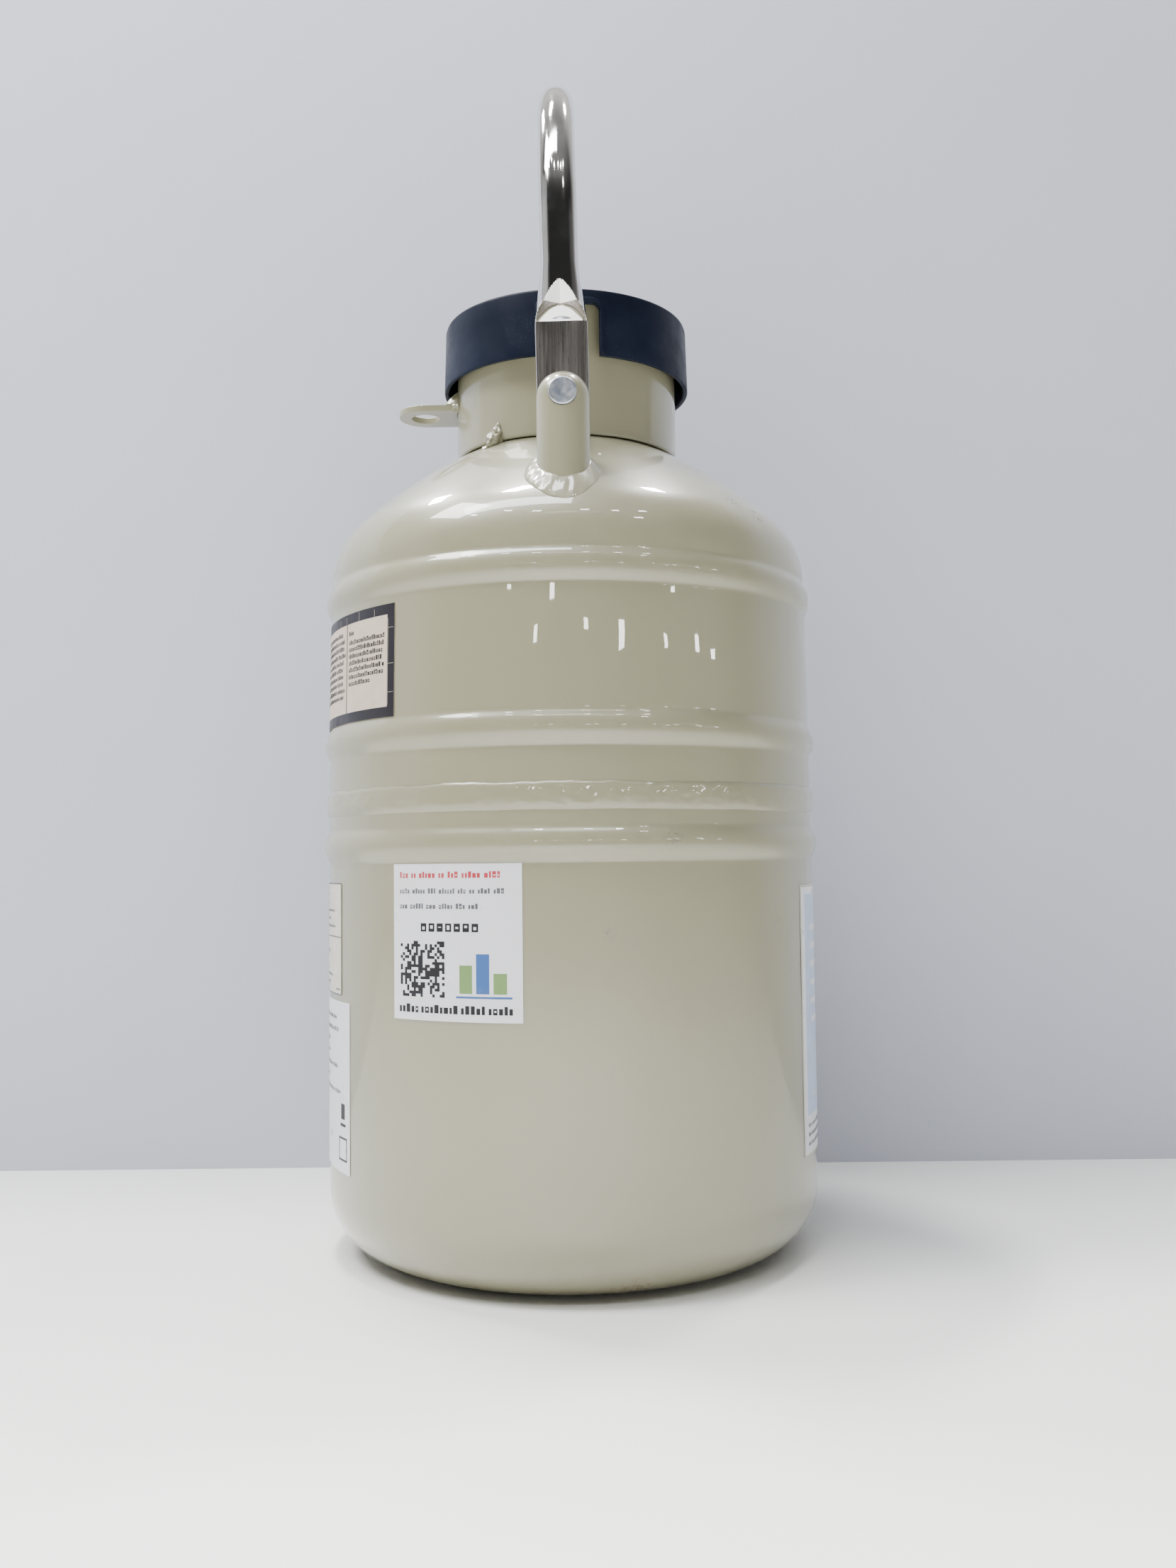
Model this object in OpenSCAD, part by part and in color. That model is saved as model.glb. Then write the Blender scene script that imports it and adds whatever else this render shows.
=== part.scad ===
// Small aluminium liquid nitrogen dewar with a swinging bail and a lift-off lid.
// Millimetres, +Z up. The origin is the centre of the base on the floor, the
// bail's pivot axis runs along Y and the locking eye points to -X.

/* [Outer shell] */
// Radius of the lower shell's wall
low_r = 110.6; // [106:0.2:114]
// Radius of the upper shell's wall just under the shoulder
top_r = 109.3; // [107:0.1:110]
// Sheet thickness of both shells
shell_t = 2; // [1.6:0.1:2.4]
// Height of the joint between the two shells
girth_z = 198; // [194:0.5:202]
// Corner radius between the wall and the base
base_r = 29; // [24:1:32]
// Corner radius of the shoulder
shoulder_r = 34; // [28:1:38]
// Radius of the crown of the dome in section
dome_r = 230; // [210:5:250]
// Height of the dome where the collar stands on it
dome_z0 = 358; // [354:0.5:362]
// Slope of the dome there, in degrees
dome_a0 = 28.5; // [27:0.5:30]

/* [Ribs] */
// Heights of the two ribs of the upper shell and the one of the lower shell
rib_z = [289.5, 225, 179.5];
// Width of each rolled rib
rib_w = 13; // [10:0.5:15]
// How far a rib stands proud of the wall
rib_h = 2.2; // [1.6:0.1:3]

/* [Neck and collar] */
// Outside radius of the collar
collar_r = 51.4; // [51:0.1:52]
// Wall thickness of the collar
collar_t = 2.5; // [2:0.1:2.6]
// Height of the collar's top edge
collar_top = 418; // [416:0.5:418]
// Bore radius of the neck tube
neck_r = 35; // [34.6:0.1:35.2]
// Wall thickness of the neck tube
neck_t = 1.6; // [1.4:0.1:1.6]

/* [Bail] */
// Distance from the centre line to each lug's axis
lug_y = 88; // [87.5:0.1:88.5]
// Radius of the round bar that a lug is made from
lug_r = 11.05; // [10.9:0.05:11.2]
// Height of the pivot axis
pivot_z = 361.8; // [361:0.1:363]
// Outside radius of the bail's tube
tube_r = 7.95; // [7.5:0.05:8]
// Wall thickness of the bail's tube
tube_t = 1.5; // [1.2:0.1:2]
// Distance from the centre line to the axis of each leg
leg_y = 85; // [84.8:0.1:85.2]
// Height of the centre of the arch
arch_z = 437.7; // [434:0.1:442]
// Width of the pressed flat end of a leg
flat_w = 22; // [20:0.5:22]
// Thickness of the pressed flat end
flat_t = 4; // [3.6:0.1:4]
// How far the bail leans to -X where it is at rest, in degrees
bail_lean = 1; // [0:0.5:3]

/* [Lid] */
// Outside radius of the lid's skirt at its lower edge
lid_r = 57.4; // [57:0.1:58]
// Height of the skirt's lower edge
lid_bottom = 392; // [390:0.5:395]
// Height of the lid's top
lid_top = 422; // [421.5:0.1:423]
// Width of each notch in the skirt
notch_w = 25.5; // [20:0.5:32]
// Turn of the lid on the neck, in degrees
notch_turn = 2.9; // [0:0.1:10]
// Length of the foam plug below the lid
plug_len = 54; // [40:1:54]
// Radius of the foam plug
plug_r = 33; // [30:0.5:34]

/* [Inner vessel] */
// Outside radius of the inner vessel
vessel_r = 97; // [92:0.5:98]
// Sheet thickness of the inner vessel
vessel_t = 1.6; // [1.2:0.1:2]
// Height of the underside of the inner vessel
vessel_z0 = 24; // [22:0.5:28]
// Height of the top of the inner vessel
vessel_z1 = 302; // [298:0.5:302]

/* [Hidden] */
$fn = 96;
e = 0.03;

cream = [0.84, 0.82, 0.74];
weldc = [0.80, 0.79, 0.70];
alu = [0.72, 0.73, 0.75];
chrome = [0.80, 0.81, 0.83];
navy = [0.06, 0.07, 0.12];
paper = [0.93, 0.93, 0.94];

taper_z = girth_z + 8;
// centre of the dome's section arc
dcr = collar_r - 0.4 - dome_r * sin(dome_a0);
dcz = dome_z0 - dome_r * cos(dome_a0);
// centre of the shoulder's section arc, tangent to the dome and to the wall
scr = top_r - shoulder_r;
scz = dcz + sqrt(pow(dome_r - shoulder_r, 2) - pow(scr - dcr, 2));
ja = atan2(scr - dcr, scz - dcz);
function wall_r(z) = z <= taper_z ? low_r : low_r - (z - taper_z) * (low_r - top_r) / (scz - taper_z);
function dome_z(r) = dcz + sqrt(pow(dome_r, 2) - pow(r - dcr, 2));
function arc(cr, cz, rad, a0, a1, n) = [for (i = [0:n]) let (a = a0 + (a1 - a0) * i / n) [cr + rad * sin(a), cz + rad * cos(a)]];
// a rolled rib's section, from its upper edge to its lower edge, off mm inside the skin
rho = (pow(rib_w / 2, 2) + pow(rib_h, 2)) / (2 * rib_h);
function rib(zc, off) = let (ha = acos((rho - rib_h - off) / (rho - off)), c = wall_r(zc) + rib_h - rho)
  [for (i = [0:8]) let (a = ha - 2 * ha * i / 8) [c + (rho - off) * cos(a), zc + (rho - off) * sin(a)]];
// dome and shoulder section from radius r0 outwards, off mm inside the skin
function crown(r0, off) = concat(
  arc(dcr, dcz, dome_r - off, asin((r0 - dcr) / (dome_r - off)), ja, 8),
  [for (p = arc(scr, scz, shoulder_r - off, ja + 6, 90, 7)) p]);
function flip(v) = [for (i = [len(v) - 1:-1:0]) v[i]];
stub_r = 47;
stub_top = 404;

module outer_shell_upper() {
  color(cream) difference() {
    rotate_extrude() polygon(concat(
      crown(stub_r + e, 0), rib(rib_z[0], 0), rib(rib_z[1], 0),
      [[low_r, taper_z], [low_r, girth_z + e], [low_r - shell_t, girth_z + e], [low_r - shell_t, taper_z]],
      flip(rib(rib_z[1], shell_t)), flip(rib(rib_z[0], shell_t)), flip(crown(stub_r + e, shell_t))));
    port_frame() translate([0, 0, -12]) cylinder(r = 9.03, h = 30);
  }
}

// tube welded into the opening of the dome; it carries the mouth ring
module neck_sleeve() {
  color(alu) translate([0, 0, dome_z(stub_r) - shell_t - 1]) ring(stub_r, stub_r - shell_t, stub_top - dome_z(stub_r) + shell_t + 1);
}

module outer_shell_lower() {
  color(cream) rotate_extrude() polygon(concat(
    [[low_r, girth_z]], rib(rib_z[2], 0),
    [for (p = arc(low_r - base_r, base_r, base_r, 90, 180, 10)) p],
    [[64, 0], [58, 3], [0, 3], [0, 3 + shell_t], [57.4, 3 + shell_t], [63.4, shell_t]],
    [for (p = arc(low_r - base_r, base_r, base_r - shell_t, 180, 90, 10)) p],
    flip(rib(rib_z[2], shell_t)), [[low_r - shell_t, girth_z]]));
}

module girth_weld() {
  color(weldc) rotate_extrude() polygon([
    [low_r + e, 192.7], [low_r + 0.5, 193.2], [low_r + 0.8, 195.5], [low_r + 0.9, 198],
    [low_r + 0.8, 200.5], [low_r + 0.5, 202.9], [low_r + e, 203.4]]);
}

module girth_backing_ring() {
  color(alu) translate([0, 0, girth_z - 8]) ring(low_r - shell_t - e, low_r - shell_t - 2, 16);
}

module ring(ro, ri, h) {
  difference() {
    cylinder(r = ro, h = h);
    translate([0, 0, -1]) cylinder(r = ri, h = h + 2);
  }
}

vc = 40;
vmid = (vessel_z0 + vessel_z1) / 2 + 2;
module inner_vessel_upper() {
  color(alu) rotate_extrude() polygon(concat(
    [[vessel_r, vmid + e]],
    arc(vessel_r - vc, vessel_z1 - vc, vc, 90, 0, 10),
    [[44.1, vessel_z1], [44.1, vessel_z1 - vessel_t]],
    arc(vessel_r - vc, vessel_z1 - vc, vc - vessel_t, 0, 90, 10),
    [[vessel_r - vessel_t, vmid + e]]));
}
module inner_vessel_lower() {
  color(alu) rotate_extrude() polygon(concat(
    [[0, vessel_z0]],
    arc(vessel_r - vc, vessel_z0 + vc, vc, 180, 90, 10),
    [[vessel_r, vmid], [vessel_r - vessel_t, vmid]],
    arc(vessel_r - vc, vessel_z0 + vc, vc - vessel_t, 90, 180, 10),
    [[0, vessel_z0 + vessel_t]]));
}
module inner_girth_weld() {
  color(alu) rotate_extrude() polygon([[vessel_r + e, vmid - 3], [vessel_r + 0.35, vmid - 1.5],
    [vessel_r + 0.35, vmid + 1.5], [vessel_r + e, vmid + 3]]);
}

module neck_tube() {
  color([0.62, 0.55, 0.36]) translate([0, 0, vessel_z1 - 5]) ring(neck_r + neck_t, neck_r, 410 - vessel_z1 + 5);
}
module neck_foot_ring() {
  color(alu) rotate_extrude() polygon([[neck_r + neck_t + e, vessel_z1 - 5], [44, vessel_z1 - 5], [44, vessel_z1 + e],
    [46, vessel_z1 + e], [46, vessel_z1 + 3], [neck_r + neck_t + e, vessel_z1 + 3]]);
}
module neck_mouth_ring() {
  color(alu) rotate_extrude() polygon([[neck_r + neck_t + e, 396], [stub_r - shell_t - e, 396],
    [stub_r - shell_t - e, stub_top + e], [stub_r + 0.8, stub_top + e], [stub_r + 0.8, 409.4],
    [stub_r + 0.2, 410], [neck_r + neck_t + e, 410]]);
}

bl = 7; // blanket thickness
module superinsulation_blanket() {
  color([0.80, 0.80, 0.83]) rotate_extrude() polygon(concat(
    [[31, vessel_z0 - 0.5]],
    arc(vessel_r - vc, vessel_z0 + vc, vc + 0.5, 180, 90, 8),
    arc(vessel_r - vc, vessel_z1 - vc, vc + 0.5, 90, 0, 8),
    [[46.5, vessel_z1 + 0.5], [46.5, vessel_z1 + 3.5], [37.2, vessel_z1 + 3.5], [37.2, 348], [40.5, 348],
     [42, vessel_z1 + 12], [50, vessel_z1 + 0.5 + bl]],
    arc(vessel_r - vc, vessel_z1 - vc, vc + 0.5 + bl, 0, 90, 8),
    arc(vessel_r - vc, vessel_z0 + vc, vc + 0.5 + bl, 90, 180, 8),
    [[31, vessel_z0 - 0.5 - bl]]));
}
module getter_cup() {
  color(alu) rotate_extrude() polygon([[0, 13], [28.5, 13], [30, 14.5], [30, vessel_z0 - e],
    [29, vessel_z0 - e], [29, 14.9], [28.1, 14], [0, 14]]);
}
module getter_pellets() {
  color([0.25, 0.24, 0.23]) translate([0, 0, 14 + e]) cylinder(r = 28, h = vessel_z0 - 14.4);
}

// vacuum port: its axis is the dome's normal, behind the collar
port_az = 135;
port_r = 70;
module port_frame() {
  translate([port_r * sin(port_az), -port_r * cos(port_az), dome_z(port_r)])
    rotate([0, 0, port_az - 90]) rotate([0, asin((port_r - dcr) / dome_r), 0]) children();
}
module vacuum_port_tube() {
  color(alu) port_frame() translate([0, 0, -8]) difference() {
    cylinder(r = 9, h = 20);
    translate([0, 0, -1]) cylinder(r = 6, h = 22);
  }
}
module vacuum_plug() {
  color(alu) port_frame() difference() {
    union() {
      translate([0, 0, 1]) cylinder(r = 5.85, h = 10);
      translate([0, 0, 11]) cylinder(r = 4.5, h = 1.4);
    }
    translate([0, 0, 5]) difference() {
      cylinder(r = 7, h = 2.3);
      translate([0, 0, -1]) cylinder(r = 3.8, h = 4.3);
    }
  }
}
module vacuum_plug_oring() {
  color([0.08, 0.08, 0.08]) port_frame() translate([0, 0, 6.15]) rotate_extrude() translate([4.9, 0]) circle(r = 1.04, $fn = 24);
}
module vacuum_port_cap() {
  color(navy) port_frame() difference() {
    translate([0, 0, 2.5]) cylinder(r = 10.8, h = 12.2);
    translate([0, 0, 1.5]) cylinder(r = 9.3, h = 11.2);
  }
}

module neck_collar() {
  ri = collar_r - collar_t;
  color(cream) rotate_extrude() polygon([[ri, 359.6], [ri + 0.5, 359], [collar_r - 0.7, 359], [collar_r - 0.2, 359.2], [collar_r, 359.8],
    [collar_r, collar_top - 1.3], [collar_r - 0.3, collar_top - 0.5], [collar_r - 1, collar_top],
    [ri + 1, collar_top], [ri + 0.3, collar_top - 0.5], [ri, collar_top - 1.3]]);
}
module collar_tack_welds() {
  color(weldc) for (az = [-37, 143, 233]) rotate([0, 0, az - 90 - 6]) rotate_extrude(angle = 12)
    polygon([[collar_r + e, 359.9], [collar_r + e, 366], [collar_r + 2, 363.5], [57.5, dome_z(57.5) + 0.06], [collar_r + e, dome_z(collar_r) + 0.06]]);
}

eye_x = -66.6;
eye_z0 = 382.4;
eye_t = 2.9;
module locking_eye_tab() {
  color(cream) translate([0, 0, eye_z0]) difference() {
    union() {
      translate([eye_x, -12.5, 0]) cube([30, 25, eye_t]);
      translate([eye_x, 0, 0]) cylinder(r = 12.5, h = eye_t);
    }
    translate([0, 0, -1]) cylinder(r = collar_r + e, h = eye_t + 2);
    translate([eye_x, 0, -1]) cylinder(r = 6.5, h = eye_t + 2);
  }
}
module tab_weld() {
  color(weldc) rotate([0, 0, 180 - 13]) rotate_extrude(angle = 26)
    polygon([[collar_r + e, eye_z0 + eye_t + e], [collar_r + 4.5, eye_z0 + eye_t + e], [collar_r + 1.5, eye_z0 + eye_t + 2], [collar_r + e, eye_z0 + eye_t + 4.5]]);
}

// solid under the skin of the dome, used to fit the lugs to it
module dome_envelope() {
  rotate_extrude() polygon(concat([[0, 280], [0, dome_z(20)], [20, dome_z(20)]], crown(30, -0.05), [[top_r + 0.05, 280]]));
}
plate_y0 = leg_y - tube_r;          // inner face of a flat end
plate_y1 = plate_y0 + flat_t;       // outer face of a flat end
module lug_bar() {
  difference() {
    union() {
      translate([0, -lug_y, 300]) cylinder(r = lug_r, h = pivot_z - 300);
      translate([0, -lug_y, pivot_z]) sphere(r = lug_r);
    }
    dome_envelope();
    // face milled away for the flat end of the bail
    translate([-20, -plate_y1 - 0.25, pivot_z - 16.3]) cube([40, 20, 44]);
    // bore and spot face for the rivet
    translate([0, -70, pivot_z]) rotate([90, 0, 0]) cylinder(r = 4.05, h = 40);
    translate([0, -97.4, pivot_z]) rotate([90, 0, 0]) cylinder(r = 6, h = 10);
  }
}
module lug_front() { color(cream) lug_bar(); }
module lug_rear() { color(cream) mirror([0, 1, 0]) lug_bar(); }
module lug_weld() {
  difference() {
    intersection() {
      translate([0, -lug_y, 300]) cylinder(r = 15.6, h = 70);
      translate([0, -lug_y, dome_z(lug_y)]) rotate([asin((lug_y - dcr) / dome_r) - 4, 0, 0]) translate([-30, -40, -40]) cube([60, 80, 44]);
    }
    dome_envelope();
    translate([0, -lug_y, 290]) cylinder(r = lug_r + e, h = 90);
  }
}
module lug_welds() {
  color(weldc) { lug_weld(); mirror([0, 1, 0]) lug_weld(); }
}

module rivet() {
  translate([0, 0, pivot_z]) rotate([90, 0, 0]) {
    translate([0, 0, 97.4]) cylinder(r = 5.8, h = 2.1);
    translate([0, 0, 75]) cylinder(r = 4, h = 23);
    translate([0, 0, 73.4]) cylinder(r = 5.6, h = 2.2);
  }
}
module pivot_rivets() {
  color([0.58, 0.62, 0.68]) { rivet(); mirror([0, 1, 0]) rivet(); }
}
module rivet_washer() {
  translate([0, -75.6, pivot_z]) rotate([90, 0, 0]) difference() {
    cylinder(r = 7.5, h = 1.2);
    translate([0, 0, -1]) cylinder(r = 4.1, h = 4);
  }
}
module rivet_washers() {
  color(alu) { rivet_washer(); mirror([0, 1, 0]) rivet_washer(); }
}

// one leg of the bail from its flat end to the start of the arch
crimp_z0 = 397;
crimp_z1 = 418;
module leg() {
  difference() {
    union() {
      translate([0, -plate_y0, pivot_z]) rotate([90, 0, 0]) cylinder(r = flat_w / 2, h = flat_t);
      translate([-flat_w / 2, -plate_y1, pivot_z]) cube([flat_w, flat_t, crimp_z0 - pivot_z + 0.01]);
      hull() {
        translate([-flat_w / 2, -plate_y1, crimp_z0]) cube([flat_w, flat_t, 0.02]);
        translate([0, -leg_y, crimp_z1 - 0.02]) cylinder(r = tube_r, h = 0.02, $fn = 32);
      }
    }
    translate([0, -60, pivot_z]) rotate([90, 0, 0]) cylinder(r = 4.06, h = 40);
  }
  translate([0, -leg_y, crimp_z1 - 0.02]) difference() {
    cylinder(r = tube_r, h = arch_z - crimp_z1 + 0.02);
    translate([0, 0, 1]) cylinder(r = tube_r - tube_t, h = 60);
  }
}
module handle() {
  color(chrome) translate([0, 0, pivot_z]) rotate([0, -bail_lean, 0]) translate([0, 0, -pivot_z]) {
    leg();
    mirror([0, 1, 0]) leg();
    translate([0, 0, arch_z]) rotate([0, -90, 0]) rotate([0, 0, -90]) rotate_extrude(angle = 180) translate([leg_y, 0])
      difference() { circle(r = tube_r); circle(r = tube_r - tube_t); }
  }
}

module notch() {
  translate([0, 45, 0]) {
    translate([-notch_w / 2, 0, 380]) cube([notch_w, 20, 32.4]);
    translate([-notch_w / 2 + 3, 0, 380]) cube([notch_w - 6, 20, 35.4]);
    for (s = [-1, 1]) translate([s * (notch_w / 2 - 3), 0, 412.4]) rotate([-90, 0, 0]) cylinder(r = 3, h = 20);
  }
}
module lid_cap() {
  lt = lid_r - 0.9;
  color(navy) difference() {
    rotate_extrude() polygon([[0, 418.3], [54.2, 418.3], [lid_r - 2.1, lid_bottom + 0.5], [lid_r - 1.6, lid_bottom],
      [lid_r - 0.4, lid_bottom], [lid_r, lid_bottom + 0.6], [lt + 0.1, lid_top - 1.8], [lt - 0.35, lid_top - 0.6], [lt - 1.6, lid_top],
      [lt - 3.2, lid_top], [lt - 4.2, lid_top - 0.6], [0, lid_top - 0.6]]);
    rotate([0, 0, notch_turn]) {
      notch();
      mirror([0, 1, 0]) notch();
    }
    translate([0, 0, 410]) cylinder(r = 3.05, h = 10.6);
  }
}
plug_z0 = 418.25 - plug_len;
module neck_plug() {
  color([0.90, 0.90, 0.86]) translate([0, 0, plug_z0]) ring(plug_r, 3.1, plug_len);
}
module plug_end_disc() {
  color([0.12, 0.13, 0.16]) translate([0, 0, plug_z0 - 2]) ring(plug_r - 1.5, 3.1, 2 - e);
}
module plug_bolt() {
  color([0.85, 0.85, 0.82]) {
    translate([0, 0, plug_z0 - 4.2]) cylinder(r = 5.5, h = 2.2 - e);
    translate([0, 0, plug_z0 - 3]) cylinder(r = 3, h = plug_len + 5);
  }
}

// adhesive labels: thin skins on the wall, given by azimuth from -Y and height
label_t = 0.25;
function up_r(z) = let (a = rib(rib_z[1], 0)[0], b = rib(rib_z[0], 0)[8]) a[0] + (b[0] - a[0]) * (z - a[1]) / (b[1] - a[1]);
module low_label(a0, a1, z0, z1) {
  rotate([0, 0, a0 - 90]) rotate_extrude(angle = a1 - a0) translate([low_r + e, z0]) square([label_t, z1 - z0]);
}
module asset_sticker() { color(paper) low_label(-39.4, -9, 110.2, 172); }
module framed_label() {
  color([0.80, 0.72, 0.60]) rotate([0, 0, -96 - 90]) rotate_extrude(angle = 56.5)
    polygon([[up_r(232.2) + e, 232.2], [up_r(232.2) + e + label_t, 232.2], [up_r(279) + e + label_t, 279], [up_r(279) + e, 279]]);
}
module side_box_label() { color([0.78, 0.76, 0.70]) low_label(-112, -61.9, 116.2, 164); }
module side_strip_label() { color([0.88, 0.89, 0.92]) low_label(-95, -56.9, 41.8, 113.6); }
module right_label() { color([0.86, 0.88, 0.92]) low_label(63.2, 137, 45, 161); }

outer_shell_upper();
outer_shell_lower();
neck_sleeve();
girth_weld();
girth_backing_ring();
inner_vessel_upper();
inner_vessel_lower();
inner_girth_weld();
neck_tube();
neck_foot_ring();
neck_mouth_ring();
superinsulation_blanket();
getter_cup();
getter_pellets();
vacuum_port_tube();
vacuum_plug();
vacuum_plug_oring();
vacuum_port_cap();
neck_collar();
collar_tack_welds();
locking_eye_tab();
tab_weld();
lug_front();
lug_rear();
lug_welds();
pivot_rivets();
rivet_washers();
handle();
lid_cap();
neck_plug();
plug_end_disc();
plug_bolt();
asset_sticker();
framed_label();
side_box_label();
side_strip_label();
right_label();
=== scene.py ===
import bpy, math, random
import numpy as np
from mathutils import Vector, Matrix, noise

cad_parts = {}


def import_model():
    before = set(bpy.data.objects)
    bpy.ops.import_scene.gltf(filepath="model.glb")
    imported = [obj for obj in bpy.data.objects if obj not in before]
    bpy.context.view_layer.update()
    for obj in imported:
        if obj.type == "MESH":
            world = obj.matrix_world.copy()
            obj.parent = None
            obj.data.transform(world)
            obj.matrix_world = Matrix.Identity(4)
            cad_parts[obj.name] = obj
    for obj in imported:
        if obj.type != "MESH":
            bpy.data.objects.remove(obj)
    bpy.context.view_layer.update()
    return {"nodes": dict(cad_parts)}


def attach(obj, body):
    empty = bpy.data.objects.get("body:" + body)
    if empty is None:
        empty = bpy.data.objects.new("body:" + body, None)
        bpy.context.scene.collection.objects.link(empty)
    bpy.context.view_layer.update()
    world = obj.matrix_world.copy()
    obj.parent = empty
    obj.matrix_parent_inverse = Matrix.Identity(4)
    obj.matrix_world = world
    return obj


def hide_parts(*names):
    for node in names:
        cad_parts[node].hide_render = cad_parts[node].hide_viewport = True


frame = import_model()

NODES = frame["nodes"]
MM = 0.001

# ------------------------------------------------------------------ sizes, mm
LOW_R, TOP_R = 110.6, 109.3
RIBS = (289.5, 225.0, 179.5)
RIB_W, RIB_H = 13.0, 2.2
GIRTH_Z, TAPER_Z = 198.0, 206.0
BASE_R, SHOULDER_R, DOME_R = 29.0, 34.0, 230.0
COLLAR_R, COLLAR_T, COLLAR_TOP = 51.4, 2.5, 418.0
DOME_Z0, DOME_A0 = 358.0, math.radians(28.5)
LUG_Y, LUG_R, PIVOT_Z = 88.0, 11.05, 361.8
TUBE_R, LEG_Y, ARCH_Z = 7.95, 85.0, 437.7
LEAN = math.radians(1.0)
DCR = COLLAR_R - 0.4 - DOME_R * math.sin(DOME_A0)
DCZ = DOME_Z0 - DOME_R * math.cos(DOME_A0)
SCR = TOP_R - SHOULDER_R
SCZ = DCZ + math.sqrt((DOME_R - SHOULDER_R) ** 2 - (SCR - DCR) ** 2)
JA = math.atan2(SCR - DCR, SCZ - DCZ)
RHO = ((RIB_W / 2) ** 2 + RIB_H ** 2) / (2 * RIB_H)


def wall_r(z):
    return LOW_R if z <= TAPER_Z else LOW_R - (z - TAPER_Z) * (LOW_R - TOP_R) / (SCZ - TAPER_Z)


def dome_z(r):
    return DCZ + math.sqrt(max(DOME_R ** 2 - (r - DCR) ** 2, 0))


def skin_z(r):
    """Height of the painted skin of the dome and shoulder at radius r."""
    rj = DCR + DOME_R * math.sin(JA)
    if r <= rj:
        return dome_z(r)
    return SCZ + math.sqrt(max(SHOULDER_R ** 2 - (r - SCR) ** 2, 0))


def up_r(z):
    """Radius of the straight wall between the two upper ribs."""
    c = [wall_r(RIBS[1]), wall_r(RIBS[0])]
    z0, z1 = RIBS[1] + RIB_W / 2, RIBS[0] - RIB_W / 2
    return c[0] + (c[1] - c[0]) * (z - z0) / (z1 - z0)


def smax(a, b, k):
    return max(a, b) + max(k - abs(a - b), 0.0) ** 2 / (4 * k)


def wall_with_ribs(z):
    r = wall_r(z)
    for zc in RIBS:
        d = abs(z - zc)
        if d < RIB_W / 2 + 4:
            cap = math.sqrt(max(RHO ** 2 - d * d, 0)) - (RHO - RIB_H)
            r = wall_r(z) + smax(0.0, cap, 0.9)
    return r


# ------------------------------------------------------------------ mesh helpers
def lerp(a, b, t):
    return a + (b - a) * t


def sstep(a, b, x):
    t = min(max((x - a) / (b - a), 0), 1)
    return t * t * (3 - 2 * t)


def n3(x, y, z, seed=0.0):
    return noise.noise(Vector((x + seed * 17.3, y - seed * 5.1, z + seed * 9.7)))


def make(name, verts, faces, mats, body, replaces=None, idx=None, smooth=True, scale=MM):
    me = bpy.data.meshes.new(name)
    me.from_pydata([tuple(float(c) * scale for c in v) for v in verts], [], faces)
    me.validate()
    for m in mats if isinstance(mats, (list, tuple)) else [mats]:
        me.materials.append(m)
    if idx is not None:
        me.polygons.foreach_set("material_index", idx)
    me.polygons.foreach_set("use_smooth", [smooth] * len(me.polygons))
    ob = bpy.data.objects.new(name, me)
    bpy.context.scene.collection.objects.link(ob)
    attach(ob, body)
    if replaces:
        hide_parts(*([replaces] if isinstance(replaces, str) else replaces))
    return ob


def lathe(prof, seg, disp=None):
    """Closed section [(r, z)] turned about Z. A point with r = 0 becomes a pole. disp(r, z, a) returns (dr, dz)."""
    V, ring = [], []
    for r, z in prof:
        if r < 1e-6:
            ring.append([len(V)] * seg)
            V.append((0, 0, z))
            continue
        row = []
        for i in range(seg):
            a = 2 * math.pi * i / seg
            dr, dz = disp(r, z, a) if disp else (0, 0)
            row.append(len(V))
            V.append(((r + dr) * math.sin(a), -(r + dr) * math.cos(a), z + dz))
        ring.append(row)
    F = []
    n = len(prof)
    for k in range(n):
        a, b = ring[k], ring[(k + 1) % n]
        if a[0] == a[-1] and b[0] == b[-1]:
            continue
        for i in range(seg):
            j = (i + 1) % seg
            q = [a[i], a[j], b[j], b[i]]
            q2 = []
            for v in q:
                if v not in q2:
                    q2.append(v)
            if len(q2) > 2:
                F.append(tuple(q2))
    return V, F


def fix_normals(ob):
    import bmesh
    bm = bmesh.new()
    bm.from_mesh(ob.data)
    bmesh.ops.remove_doubles(bm, verts=bm.verts, dist=1e-7)
    bmesh.ops.recalc_face_normals(bm, faces=bm.faces)
    bm.to_mesh(ob.data)
    bm.free()
    return ob


def sharp(ob, angle=35):
    """Splits the shading at edges sharper than angle by marking those edges sharp in the mesh itself, which holds at
    every pose.
    """
    me = ob.data
    import bmesh
    bm = bmesh.new()
    bm.from_mesh(me)
    lim = math.radians(angle)
    for e in bm.edges:
        if len(e.link_faces) == 2 and e.calc_face_angle(0) > lim:
            e.smooth = False
    bm.to_mesh(me)
    bm.free()


def arcp(cr, cz, rad, a0, a1, n):
    return [(cr + rad * math.sin(a0 + (a1 - a0) * i / n), cz + rad * math.cos(a0 + (a1 - a0) * i / n)) for i in range(n + 1)]


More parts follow.
